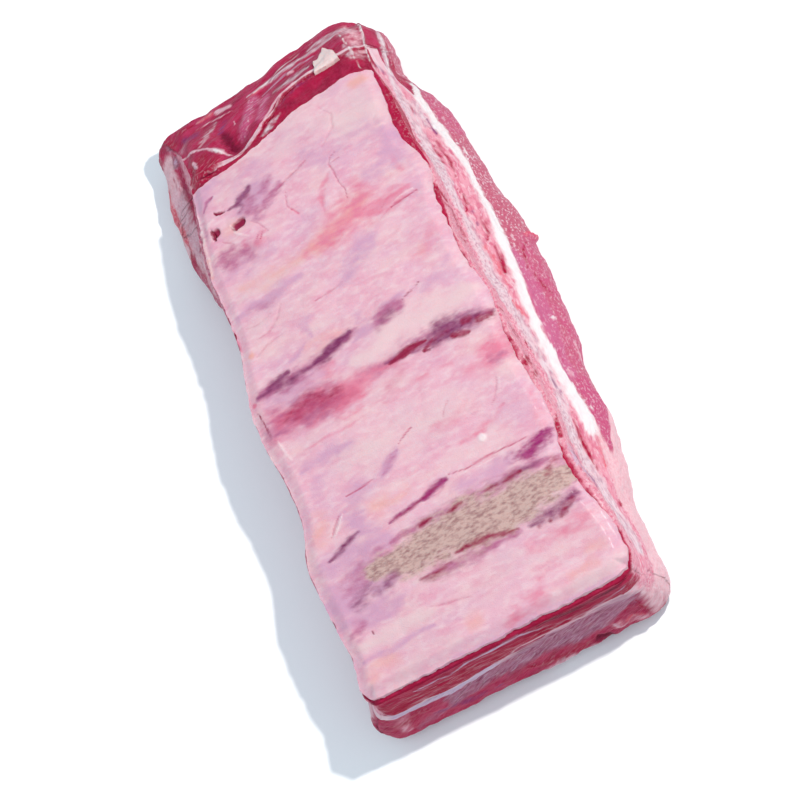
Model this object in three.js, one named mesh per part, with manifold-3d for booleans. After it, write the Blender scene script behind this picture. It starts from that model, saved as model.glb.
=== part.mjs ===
// Raw beef short ribs: a rack of four flat rib bones cut from the chuck, lying meat side down.
// The layers, from the top, are the rib membrane, the rib plate (bones in their meat), a fat
// seam and the thick muscle below. At the far end the muscle and the seam run past the last
// bone and slope down as a shelf. Both long sides are sawn through the bones.
// Millimetres. +X runs from the far end to the near end, +Y to the sawn side that bulges, +Z up.
// The origin is on the table, under the middle of the rack.
import * as THREE from "three";
import { mergeVertices } from "three/addons/utils/BufferGeometryUtils.js";
import Module from "manifold-3d";

// ---------------------------------------------------------------- driving dimensions
const RACK = { nearX: 147.5, halfWidth: 60, height: 52 };
const CORNER_RADIUS = { farRight: 14, farLeft: 3, nearRight: 11, nearLeft: 7 };
const NEAR_LEAN = 0.23; // how far the near face stands out for each millimetre below the top
const RIB = { count: 4, pitch: 62, lastX: 103, width: 36, narrowing: 0.05, thickness: 13, cover: 2.2 };
const RIB_SQUARENESS = 2.6; // 2 would make the bone's section an ellipse
const FAR_BELLY = 1.5; // how far the far face swells out between the table and the shoulder
const TUCK = { height: 7, near: 5, far: 8 }; // the end faces draw in above the table
const MEMBRANE = { thickness: 2, roll: 2.6, rollReach: 6 };
const PLATE_THICKNESS = 20; // membrane, bones and the meat between them
const SEAM = { thickness: 3.2, thicker: 3.4, edgeWidth: 2.6, tip: 1.6, nearRise: 5 };
const SHELF = { drop: 17, lip: 0.6 }; // how far the shelf falls, and how far its root is under the membrane
// Fat left on the shelf: its far side stands out to a corner, by a share of the half width.
const CHUNK = { x: -135, y: 37.7, length: 15, width: 9, corner: 1.4, thickness: 2.4, lift: 0.6 };
const GAP = 0.3; // clear space between neighbouring pieces
const WAVE = { rib: 0.8, lump: 0.55, wall: 0.9 }; // heights of the rises and falls

// ---------------------------------------------------------------- outlines, as [position, value] knots
// Half widths of the top face, along X, and of the sides at their widest level.
const RIGHT_EDGE = [[-158, 50], [-107, 50], [-77, 48.5], [-57, 54], [-40, 51], [-4, 51], [8, 53.5],
  [38, 52], [73, 54.5], [93, 51], [108, 53], [125, 57.5], [158, 58]];
const RIGHT_LOW = [[-158, 58.5], [-140, 59.8], [-123, 58.5], [-107, 66.3], [-93, 70.6], [-53, 73.8],
  [-32, 76.5], [-12, 78], [21, 77], [38, 74.9], [48, 72.8], [72, 73.2], [88, 71.5], [107, 67],
  [118, 64.7], [158, 64.5]];
const LEFT_EDGE = [[-158, 52], [-106, 51], [-85, 54], [-62, 58], [-24, 57.5], [-5, 61.5], [10, 64.5],
  [27, 64], [46, 61], [66, 61.5], [83, 66.5], [96, 66], [127, 63.5], [148, 66]];
const LEFT_LOW = [[-158, 71], [-134, 72], [-126, 74], [-96, 75], [-84, 73.5], [-68, 70], [-50, 66],
  [-25, 61], [6, 66.5], [46, 63.5], [83, 69], [122, 68.5], [138, 75], [150, 78]];
// Share of the way from the top's outline to the widest one, at a height above the table.
const SIDE_SHARE = [[0, 0.5], [4, 0.82], [12, 1], [19, 0.92], [25, 0.66], [31, 0.26], [36, 0.07],
  [46, 0.01], [52, 0]];
// The far edges of the layers on the shelf, along Y: the outer shoulder, the seam's line and the membrane.
const SHOULDER_X = [[-60, -155.5], [-46, -153.5], [-25, -154.5], [-4, -155.5], [11, -157.5],
  [27, -159], [60, -160]];
const SEAM_LINE_X = [[-60, -112], [-33, -112], [-27, -113], [-13, -118], [-1, -124], [9, -130],
  [29, -133.3], [60, -134]];
const MEMBRANE_END_X = [[-60, -105], [-45, -106.5], [-30, -107.5], [-15, -110], [0, -113], [10, -115],
  [45, -117], [60, -114]];

// ---------------------------------------------------------------- small maths
const lerp = (a, b, t) => a + (b - a) * t;
const clamp01 = (t) => Math.min(1, Math.max(0, t));
const smooth = (from, to, value) => {
  const t = clamp01((value - from) / (to - from));
  return t * t * (3 - 2 * t);
};

// A smooth curve through the knots, level beyond both ends.
function curve(knots, at) {
  const last = knots.length - 1;
  if (at <= knots[0][0]) return knots[0][1];
  if (at >= knots[last][0]) return knots[last][1];
  const i = knots.findIndex(([position]) => position > at) - 1;
  const slope = (k) => {
    const [before, after] = [knots[Math.max(k - 1, 0)], knots[Math.min(k + 1, last)]];
    return (after[1] - before[1]) / (after[0] - before[0]);
  };
  const [[x0, y0], [x1, y1]] = [knots[i], knots[i + 1]];
  const [span, t] = [x1 - x0, (at - x0) / (x1 - x0)];
  const [t2, t3] = [t * t, t * t * t];
  return (2 * t3 - 3 * t2 + 1) * y0 + (t3 - 2 * t2 + t) * span * slope(i)
    + (3 * t2 - 2 * t3) * y1 + (t3 - t2) * span * slope(i + 1);
}

// Uneven rises and falls between about -1 and 1, broad enough for the facets to show.
const lumps = (u, v) => 0.5 * Math.sin(0.113 * u + 0.9 + 1.3 * Math.sin(0.049 * v))
  + 0.3 * Math.sin(0.171 * v - 0.4 + 1.1 * Math.sin(0.083 * u)) + 0.2 * Math.sin(0.29 * u + 0.23 * v);

// ---------------------------------------------------------------- the rack's form
// Rounds the plan's corners: the corner square is drawn in to a quarter circle.
function roundedPlan(x, y) {
  const near = x > 0;
  const right = y > 0;
  const radius = near ? (right ? CORNER_RADIUS.nearRight : CORNER_RADIUS.nearLeft)
    : (right ? CORNER_RADIUS.farRight : CORNER_RADIUS.farLeft);
  const endX = near ? RACK.nearX : curve(SHOULDER_X, y);
  const [inX, inY] = [radius - Math.abs(endX - x), radius - (RACK.halfWidth - Math.abs(y))];
  if (inX <= 0 || inY <= 0) return [x, y];
  const pull = Math.max(inX, inY) / Math.hypot(inX, inY) - 1;
  return [x + (near ? 1 : -1) * inX * pull, y + (right ? 1 : -1) * inY * pull];
}

// Where a point of the straight-sided block lies in the real rack: rounded, widened and leaning.
function place(blockX, blockY, z) {
  const [x, y] = roundedPlan(blockX, blockY);
  const across = Math.abs(y) / RACK.halfWidth;
  const [edge, low] = y > 0 ? [RIGHT_EDGE, RIGHT_LOW] : [LEFT_EDGE, LEFT_LOW];
  const top = curve(edge, x);
  const sideBundles = WAVE.wall * lumps(x * 1.7, z * 7) * smooth(40, 30, z);
  const outward = (curve(low, x) - top) * curve(SIDE_SHARE, z) + sideBundles;
  const depth = RACK.height - z;
  const endBundles = WAVE.wall * lumps(y * 1.7, z * 7) * smooth(4, 12, depth);
  const tuck = smooth(TUCK.height, 0, z);
  const toNear = smooth(0.8, 1, x / RACK.nearX) * (NEAR_LEAN * depth + endBundles - TUCK.near * tuck);
  const farBelly = FAR_BELLY * Math.sin(Math.PI * clamp01(z / (RACK.height - SHELF.drop)));
  const toFar = smooth(0.9, 1, x / curve(SHOULDER_X, y)) * (farBelly + endBundles - TUCK.far * tuck);
  return new THREE.Vector3(x + toNear - toFar, Math.sign(y) * (top * across + outward * across ** 4), z);
}

const ribX = (n) => RIB.lastX - RIB.pitch * (RIB.count - 1 - n);

// The bare plate rises a little over each bone and sinks between them.
function plateTop(x, y) {
  const overRibs = Math.cos((2 * Math.PI * (x - RIB.lastX)) / RIB.pitch);
  const rounding = MEMBRANE.roll * (smooth(RACK.nearX - MEMBRANE.rollReach, RACK.nearX, x)
    + 0.7 * smooth(RACK.halfWidth - MEMBRANE.rollReach, RACK.halfWidth, Math.abs(y)));
  const level = RACK.height - MEMBRANE.thickness - GAP - 1;
  return level + WAVE.rib * overRibs + WAVE.lump * lumps(x, y) - rounding;
}

// The shelf falls from the membrane's end to the shoulder, with a hollow left of the seam's line.
function shelfTop(x, y) {
  const [root, shoulder] = [curve(MEMBRANE_END_X, y), curve(SHOULDER_X, y)];
  const along = clamp01((root - x) / (root - shoulder));
  const hollow = 4.5 * Math.exp(-(((x + 122) / 7) ** 2) - ((y + 27) / 7) ** 2);
  const bundle = 2.2 * Math.exp(-(((x + 121) / 8) ** 2) - ((y + 42) / 8) ** 2);
  const edge = 2.5 * smooth(RACK.halfWidth - 9, RACK.halfWidth, Math.abs(y));
  return plateTop(root, y) - SHELF.lip - SHELF.drop * along ** 1.35 - hollow + bundle
    + WAVE.lump * 1.6 * lumps(x * 2.1, y * 1.6) * smooth(0, 0.2, along) - edge;
}

const surfaceTop = (x, y) => (x < curve(MEMBRANE_END_X, y) ? shelfTop(x, y) : plateTop(x, y));
const seamThickness = (y) => SEAM.thickness + SEAM.thicker * smooth(20, 58, y);

// Top of the seam: level under the bones, rising past the first of them to its line on the shelf.
const seamRise = (x, y) => smooth(ribX(0) - RIB.width / 2 - 0.5, curve(SEAM_LINE_X, y), x);
function seamTop(x, y) {
  const level = RACK.height - PLATE_THICKNESS + 0.8 * lumps(x + 40, y - 20)
    + SEAM.nearRise * smooth(120, 147, x) * smooth(0, 25, y);
  return lerp(level, shelfTop(curve(SEAM_LINE_X, y), y) - SEAM.tip - GAP, seamRise(x, y));
}
// The upright gap over and under the seam, wider where it climbs.
const seamGap = (x, y) => GAP * (1 + 4 * seamRise(x, y) * (1 - seamRise(x, y)));

// ---------------------------------------------------------------- the grid that all layers share
const ROWS = 14;
const ROW_CROWDING = 1.52; // radians: rows stand closer towards both sides, as a sine's steps do
const rowY = (j) => {
  const swing = Math.sin(ROW_CROWDING * (2 * (j / ROWS) - 1));
  return RACK.halfWidth * (swing / Math.sin(ROW_CROWDING));
};
const SHELF_CELLS = 5;
const WEDGE_CELLS = 2;
const PLATE_CELLS = 28;
const PLATE_END = SHELF_CELLS + 2;
const COLUMN = { stepOut: SHELF_CELLS, seamEnd: SHELF_CELLS + 1, plateEnd: PLATE_END,
  membraneEnd: PLATE_END + WEDGE_CELLS, near: PLATE_END + WEDGE_CELLS + PLATE_CELLS };

// Columns follow the shoulder, the seam's two edges, the membrane's end and the near face.
function columnX(i, y) {
  const line = curve(SEAM_LINE_X, y);
  const seamEdge = line - SEAM.edgeWidth;
  const membraneEnd = curve(MEMBRANE_END_X, y);
  if (i <= COLUMN.stepOut) return lerp(curve(SHOULDER_X, y), seamEdge - 2 * GAP, i / SHELF_CELLS);
  if (i === COLUMN.seamEnd) return seamEdge;
  if (i <= COLUMN.membraneEnd) return lerp(line, membraneEnd, (i - COLUMN.plateEnd) / WEDGE_CELLS);
  const t = (i - COLUMN.membraneEnd) / PLATE_CELLS;
  return lerp(membraneEnd, RACK.nearX, t + 0.06 * t * (1 - t));
}

// A closed solid over the columns from first to near, between two surfaces given on the grid.
function layer(first, upper, lower, wallSteps) {
  const positions = [];
  const faces = [];
  const index = new Map();
  const vertex = (i, j, k) => {
    const key = `${i},${j},${k}`;
    if (!index.has(key)) {
      const y = rowY(j);
      const x = columnX(i, y);
      const z = lerp(upper(x, y, i), lower(x, y, i), k / wallSteps);
      index.set(key, positions.length / 3);
      positions.push(...place(x, y, z).toArray());
    }
    return index.get(key);
  };
  const quad = (a, b, c, d) => faces.push(a, b, c, a, c, d);
  for (let i = first; i < COLUMN.near; i++) {
    for (let j = 0; j < ROWS; j++) {
      quad(vertex(i, j, 0), vertex(i + 1, j, 0), vertex(i + 1, j + 1, 0), vertex(i, j + 1, 0));
      quad(vertex(i, j, wallSteps), vertex(i, j + 1, wallSteps), vertex(i + 1, j + 1, wallSteps),
        vertex(i + 1, j, wallSteps));
    }
  }
  const wall = (i0, j0, i1, j1) => {
    for (let k = 0; k < wallSteps; k++) {
      quad(vertex(i0, j0, k), vertex(i0, j0, k + 1), vertex(i1, j1, k + 1), vertex(i1, j1, k));
    }
  };
  for (let i = first; i < COLUMN.near; i++) {
    wall(i, 0, i + 1, 0);
    wall(i + 1, ROWS, i, ROWS);
  }
  for (let j = 0; j < ROWS; j++) {
    wall(first, j + 1, first, j);
    wall(COLUMN.near, j, COLUMN.near, j + 1);
  }
  const geometry = new THREE.BufferGeometry();
  geometry.setAttribute("position", new THREE.Float32BufferAttribute(positions, 3));
  geometry.setIndex(faces);
  return geometry;
}

// ---------------------------------------------------------------- solids for the bone channels
const wasm = await Module();
wasm.setup();

function toManifold(geometry) {
  const merged = mergeVertices(geometry, 1e-4);
  const vertProperties = merged.attributes.position.array;
  const triVerts = new Uint32Array(merged.index.array);
  return new wasm.Manifold(new wasm.Mesh({ numProp: 3, vertProperties, triVerts }));
}

function fromManifold(solid) {
  const mesh = solid.getMesh();
  const geometry = new THREE.BufferGeometry();
  geometry.setAttribute("position", new THREE.BufferAttribute(mesh.vertProperties, 3));
  geometry.setIndex(new THREE.BufferAttribute(mesh.triVerts, 1));
  return geometry;
}

// ---------------------------------------------------------------- the pieces
function membraneGeometry() {
  const top = (x, y) => plateTop(x, y) + GAP + MEMBRANE.thickness;
  const bottom = (x, y) => plateTop(x, y) + GAP;
  return layer(COLUMN.membraneEnd, top, bottom, 1);
}

// A flat rib, sawn off at both sides: a squared oval section carried across the rack.
// grow widens it all round, and reach runs it past the sawn faces, for cutting its channel.
function ribGeometry(n, grow = 0, reach = 0) {
  const [around, stations] = [16, 8];
  const positions = [];
  const faces = [];
  const power = 2 / RIB_SQUARENESS;
  const halfWidth = (RIB.width / 2) * (1 - RIB.narrowing * n);
  for (let s = 0; s <= stations; s++) {
    const y = lerp(-RACK.halfWidth, RACK.halfWidth, s / stations);
    const end = (s === 0 ? -reach : 0) + (s === stations ? reach : 0);
    const middle = plateTop(ribX(n), y * 0.9) - RIB.cover - RIB.thickness / 2;
    for (let a = 0; a < around; a++) {
      const angle = (2 * Math.PI * a) / around;
      const [c, si] = [Math.cos(angle), Math.sin(angle)];
      const x = ribX(n) + Math.sign(c) * Math.abs(c) ** power * (halfWidth + grow);
      const z = middle + Math.sign(si) * Math.abs(si) ** power * (RIB.thickness / 2 + grow);
      const p = place(x, y, z);
      positions.push(p.x, p.y + end, p.z);
    }
  }
  for (let s = 0; s < stations; s++) {
    for (let a = 0; a < around; a++) {
      const [p, q] = [s * around + a, s * around + ((a + 1) % around)];
      faces.push(p, q + around, q, p, p + around, q + around);
    }
  }
  const lastRing = stations * around;
  for (let a = 1; a < around - 1; a++) {
    faces.push(0, a, a + 1, lastRing, lastRing + a + 1, lastRing + a);
  }
  const geometry = new THREE.BufferGeometry();
  geometry.setAttribute("position", new THREE.Float32BufferAttribute(positions, 3));
  geometry.setIndex(faces);
  return geometry;
}

function plateMeatGeometry() {
  const top = (x, y) => surfaceTop(x, y);
  const bottom = (x, y) => seamTop(x, y) + seamGap(x, y);
  let meat = toManifold(layer(COLUMN.plateEnd, top, bottom, 4));
  for (let n = 0; n < RIB.count; n++) {
    meat = meat.subtract(toManifold(ribGeometry(n, GAP, 4)));
  }
  return fromManifold(meat);
}

function fatSeamGeometry() {
  const top = (x, y, i) => (i === COLUMN.seamEnd ? shelfTop(x, y) : seamTop(x, y));
  const bottom = (x, y) => seamTop(Math.max(x, curve(SEAM_LINE_X, y)), y) - seamThickness(y);
  return layer(COLUMN.seamEnd, top, bottom, 2);
}

// The muscle rests on a flat foot and turns up a little towards its rim.
function muscleBottom(x, y) {
  const foot = Math.max(Math.abs(y) / RACK.halfWidth, Math.abs(x) / RACK.nearX);
  return 3.5 * smooth(0.86, 1, foot) ** 1.5;
}

function muscleGeometry() {
  const top = (x, y, i) => (i <= COLUMN.stepOut ? shelfTop(x, y)
    : seamTop(Math.max(x, curve(SEAM_LINE_X, y)), y) - seamThickness(y) - seamGap(x, y));
  return layer(0, top, muscleBottom, 5);
}

// A five-cornered flake of fat lying on the shelf across the end of the seam.
function fatChunkGeometry() {
  const [cellsX, cellsY] = [4, 6];
  const positions = [];
  const faces = [];
  const vertex = (i, j, side) => side * (cellsX + 1) * (cellsY + 1) + j * (cellsX + 1) + i;
  for (const upper of [0, 1]) {
    for (let j = 0; j <= cellsY; j++) {
      for (let i = 0; i <= cellsX; i++) {
        const [u, v] = [2 * (i / cellsX) - 1, 2 * (j / cellsY) - 1];
        const corner = CHUNK.corner * clamp01(-2 * u) * clamp01(1 - Math.abs(v - 0.2) / 0.8);
        const x = CHUNK.x + (CHUNK.width / 2) * u * (1 + corner) * (1 - 0.08 * upper);
        const y = CHUNK.y + (CHUNK.length / 2) * v * (1 + 0.12 * u) * (1 - 0.06 * upper);
        const rim = Math.max(Math.abs(u), Math.abs(v));
        const p = place(x, y, shelfTop(x, y));
        positions.push(p.x, p.y, p.z + CHUNK.lift + upper * CHUNK.thickness * (1 - 0.35 * rim ** 4));
      }
    }
  }
  const quad = (a, b, c, d) => faces.push(a, b, c, a, c, d);
  for (let j = 0; j < cellsY; j++) {
    for (let i = 0; i < cellsX; i++) {
      quad(vertex(i, j, 1), vertex(i + 1, j, 1), vertex(i + 1, j + 1, 1), vertex(i, j + 1, 1));
      quad(vertex(i, j, 0), vertex(i, j + 1, 0), vertex(i + 1, j + 1, 0), vertex(i + 1, j, 0));
    }
  }
  const wall = (i0, j0, i1, j1) => {
    quad(vertex(i0, j0, 1), vertex(i0, j0, 0), vertex(i1, j1, 0), vertex(i1, j1, 1));
  };
  for (let i = 0; i < cellsX; i++) {
    wall(i, 0, i + 1, 0);
    wall(i + 1, cellsY, i, cellsY);
  }
  for (let j = 0; j < cellsY; j++) {
    wall(0, j + 1, 0, j);
    wall(cellsX, j, cellsX, j + 1);
  }
  const geometry = new THREE.BufferGeometry();
  geometry.setAttribute("position", new THREE.Float32BufferAttribute(positions, 3));
  geometry.setIndex(faces);
  return geometry;
}

// ---------------------------------------------------------------- materials and the finished rack
const LOOKS = {
  membrane: new THREE.MeshStandardMaterial({ color: 0xecbccb, roughness: 0.42, metalness: 0 }),
  bone: new THREE.MeshStandardMaterial({ color: 0xdccbc4, roughness: 0.6, metalness: 0 }),
  plateMeat: new THREE.MeshStandardMaterial({ color: 0xc2405f, roughness: 0.35, metalness: 0 }),
  fat: new THREE.MeshStandardMaterial({ color: 0xf6dfe0, roughness: 0.45, metalness: 0 }),
  muscle: new THREE.MeshStandardMaterial({ color: 0xb23a5a, roughness: 0.35, metalness: 0 }),
};

const rack = new THREE.Group();

function addPiece(name, geometry, look) {
  geometry.computeVertexNormals();
  const mesh = new THREE.Mesh(geometry, look);
  mesh.name = name;
  rack.add(mesh);
}

addPiece("rib_membrane", membraneGeometry(), LOOKS.membrane);
for (let n = 0; n < RIB.count; n++) addPiece(`rib_bone_${n + 1}`, ribGeometry(n), LOOKS.bone);
addPiece("rib_meat", plateMeatGeometry(), LOOKS.plateMeat);
addPiece("fat_seam", fatSeamGeometry(), LOOKS.fat);
addPiece("fat_chunk", fatChunkGeometry(), LOOKS.fat);
addPiece("chuck_muscle", muscleGeometry(), LOOKS.muscle);

// The origin goes under the middle of the rack, on the table.
const extent = new THREE.Box3().setFromObject(rack);
const centre = extent.getCenter(new THREE.Vector3());
rack.position.set(-centre.x, -centre.y, -extent.min.z);

export default rack;
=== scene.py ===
"""Dresses a slab of raw beef short ribs that lies bone side up.

Lengths are millimetres in the slab's own frame: +X to the near end, +Y to the sawn side that
bulges, +Z up from the table. They turn into metres of the shared frame when a mesh is made.
"""

import logging
import math
from dataclasses import dataclass
from enum import Enum
from typing import Any, Callable

import bpy
import numpy as np
from mathutils import Matrix, Vector


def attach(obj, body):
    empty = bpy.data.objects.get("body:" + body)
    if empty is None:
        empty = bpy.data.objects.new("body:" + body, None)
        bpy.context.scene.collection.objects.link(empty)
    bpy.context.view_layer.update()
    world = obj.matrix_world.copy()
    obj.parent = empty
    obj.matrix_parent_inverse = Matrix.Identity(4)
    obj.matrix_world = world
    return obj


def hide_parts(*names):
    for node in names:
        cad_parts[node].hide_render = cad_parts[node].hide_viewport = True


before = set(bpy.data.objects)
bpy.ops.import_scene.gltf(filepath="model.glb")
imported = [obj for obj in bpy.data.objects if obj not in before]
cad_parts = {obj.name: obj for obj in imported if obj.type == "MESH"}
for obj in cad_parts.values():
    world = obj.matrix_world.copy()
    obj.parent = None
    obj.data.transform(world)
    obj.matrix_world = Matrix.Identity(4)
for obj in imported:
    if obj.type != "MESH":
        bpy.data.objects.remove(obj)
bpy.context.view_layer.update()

LOG = logging.getLogger("short_ribs")
Array = np.ndarray
Knots = tuple[tuple[float, float], ...]
ZFunction = Callable[[Array, Array], Array]
Faces = list[tuple[int, ...]]

MM = 0.001
BODY = "root"
CENTRE_SHIFT = np.array([1.704, -1.335, 0.0])  # puts the slab's box over the shared origin
STUDIO_GAIN = 1.36  # how much brighter the studio light shows a colour than its pigment is


# ------------------------------------------------------------------ small maths
def smooth(start: float | Array, end: float | Array, value: Array) -> Array:
    """Eases from 0 at start to 1 at end.

    Args:
        start: Value where the result is 0.
        end: Value where the result is 1, above or below start.
        value: Values to ease.
    Returns:
        The eased share for each value.
    """
    t = np.clip((value - start) / (end - start), 0.0, 1.0)
    return t * t * (3.0 - 2.0 * t)


def lerp(a: Array, b: Array, t: Array) -> Array:
    """Goes from a to b by the share t."""
    return a + (b - a) * t


def curve(knots: Knots, at: Array) -> Array:
    """Follows a smooth curve through knots, level beyond both ends.

    Args:
        knots: (position, value) pairs in rising order of position.
        at: Positions to read.
    Returns:
        The curve's value at each position.
    """
    xs, ys = np.array(knots, float).T
    last = len(xs) - 1
    after = np.minimum(np.arange(last + 1) + 1, last)
    before = np.maximum(np.arange(last + 1) - 1, 0)
    slopes = (ys[after] - ys[before]) / (xs[after] - xs[before])
    x = np.clip(at, xs[0], xs[-1])
    i = np.clip(np.searchsorted(xs, x, side="right") - 1, 0, last - 1)
    span = xs[i + 1] - xs[i]
    t = (x - xs[i]) / span
    t2, t3 = t * t, t * t * t
    start, end = (2 * t3 - 3 * t2 + 1) * ys[i], (3 * t2 - 2 * t3) * ys[i + 1]
    return start + end + span * ((t3 - 2 * t2 + t) * slopes[i] + (t3 - t2) * slopes[i + 1])


def lumps(u: Array, v: Array) -> Array:
    """Gives broad uneven rises and falls between about -1 and 1 over two coordinates."""
    broad = 0.5 * np.sin(0.113 * u + 0.9 + 1.3 * np.sin(0.049 * v))
    return broad + 0.3 * np.sin(0.171 * v - 0.4 + 1.1 * np.sin(0.083 * u)) + 0.2 * np.sin(0.29 * u + 0.23 * v)


HASH_AXES = np.array((374761393, 668265263, 2246822519), np.uint32)  # odd numbers that scatter each axis
HASH_MIX = np.array((2654435761, 1274126177), np.uint32)
SEED_STRIDE = 97
OCTAVE_STRIDE = 13


def noise(points: Array, cell: float | tuple[float, float, float], seed: int, octaves: int = 1) -> Array:
    """Gives smooth seeded noise over space, from about -1 to 1.

    Args:
        points: Places, as an (n, 3) array.
        cell: Size of one wave, the same along the axes or one size each.
        seed: Picks the pattern.
        octaves: Number of layers, each half as large and half as strong as the last.
    Returns:
        One value for each place.
    """
    total = np.zeros(len(points))
    for octave in range(octaves):
        scaled = points / (np.array(cell, float) / 2**octave)
        base = np.floor(scaled)
        f = scaled - base
        f = f * f * (3.0 - 2.0 * f)
        corner = base.astype(np.int64)
        value = np.zeros(len(points))
        for step in range(8):
            offset = np.array([step & 1, (step >> 1) & 1, step >> 2])
            x, y, z = (corner + offset).astype(np.uint32).T
            h = x * HASH_AXES[0] + y * HASH_AXES[1] + z * HASH_AXES[2]
            h = (h + np.uint32(seed * SEED_STRIDE + octave * OCTAVE_STRIDE)) * HASH_MIX[0]
            h = (h ^ (h >> np.uint32(15))) * HASH_MIX[1]
            h = h ^ (h >> np.uint32(13))
            weight = np.prod(np.where(offset == 1, f, 1.0 - f), axis=1)
            value += weight * ((h & np.uint32(0xFFFF)) / 32767.5 - 1.0)
        total += value / 2**octave
    return total


@dataclass(frozen=True)
class Ripple:
    """Seeded unevenness of a surface."""

    depth: float
    cell: float | tuple[float, float, float]  # size of one wave, the same along the axes or one size each
    seed: int
    octaves: int = 2

    def at(self, points: Array) -> Array:
        """Gives the rise at each place."""
        return self.depth * noise(points, self.cell, self.seed, self.octaves)


@dataclass(frozen=True)
class Mound:
    """A round rise of a surface, or a hollow where its height is below 0."""

    x: float
    y: float
    radius: float
    height: float

    def at(self, x: Array, y: Array) -> Array:
        """Gives the rise at each place."""
        return self.height * np.exp(-(((x - self.x) / self.radius) ** 2) - ((y - self.y) / self.radius) ** 2)


# ------------------------------------------------------------------ the slab's form
# Half widths along the slab: the edge is the upper rim, and low is where the side stands out most.
RIGHT_EDGE: Knots = (
    (-158, 50), (-107, 50), (-77, 48.5), (-57, 54), (-40, 51), (-4, 51), (8, 53.5), (38, 52),
    (73, 54.5), (93, 51), (108, 53), (125, 57.5), (158, 58))
RIGHT_LOW: Knots = (
    (-158, 58.5), (-140, 59.8), (-123, 58.5), (-107, 66.3), (-93, 70.6), (-53, 73.8), (-32, 76.5),
    (-12, 78), (21, 77), (38, 74.9), (48, 72.8), (72, 73.2), (88, 71.5), (107, 67), (118, 64.7),
    (158, 64.5))
LEFT_EDGE: Knots = (
    (-158, 52), (-106, 51), (-85, 54), (-62, 58), (-24, 57.5), (-5, 61.5), (10, 64.5), (27, 64),
    (46, 61), (66, 61.5), (83, 66.5), (96, 66), (127, 63.5), (148, 66))
LEFT_LOW: Knots = (
    (-158, 71), (-134, 72), (-126, 74), (-96, 75), (-84, 73.5), (-68, 70), (-50, 66), (-25, 61),
    (6, 66.5), (46, 63.5), (83, 69), (122, 68.5), (138, 75), (150, 78))
SIDE_SHARE: Knots = (  # by height, how much of the way from edge to low the side has gone
    (0, 0.5), (4, 0.82), (12, 1), (19, 0.92), (25, 0.66), (31, 0.26), (36, 0.07), (46, 0.01), (52, 0))

# Lines across the slab: by place across it, their place along it.
SHOULDER_X: Knots = (
    (-60, -155.5), (-46, -153.5), (-25, -154.5), (-4, -155.5), (11, -157.5), (27, -159), (60, -160))
SEAM_LINE_X: Knots = (
    (-60, -112), (-33, -112), (-27, -113), (-13, -118), (-1, -124), (9, -130), (29, -133.3), (60, -134))
MEMBRANE_END_X: Knots = (
    (-60, -105), (-45, -106.5), (-30, -107.5), (-15, -110), (0, -113), (10, -115), (45, -117), (60, -114))

# How far the sawn side stands out past the membrane.
RIGHT_LEDGE: Knots = (
    (-120, 0), (-104, 2.6), (-84, 4.4), (-68, 3), (-56, 0.8), (-40, 2.4), (-22, 0.8), (-10, 1.4), (8, 0.6),
    (28, 1.4), (50, 2.6), (64, 1.2), (80, 2), (90, 3.2), (106, 4.4), (118, 2.4), (134, 0.8), (150, 0.6))
LEFT_LEDGE: Knots = (
    (-120, 0), (-110, 1.6), (-80, 2.4), (-50, 1.4), (-20, 1.2), (20, 0.8), (60, 1.2), (150, 0.8))


class Face(Enum):
    """A side of the slab, with the two axes that its marks are drawn on."""

    TOP = (0, 1)
    RIGHT = (0, 2, 1, 1)
    LEFT = (0, 2, 1, -1)
    NEAR = (1, 2, 0, 1)
    FAR = (1, 2, 0, -1)

    def weight(self, facing: Array) -> Array:
        """Gives how far each point belongs to this side, from its outward direction."""
        if self is Face.TOP:
            return (facing[:, 2] > 0.5).astype(float)
        return smooth(0.35, 0.75, facing[:, self.value[2]] * self.value[3])


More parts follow.
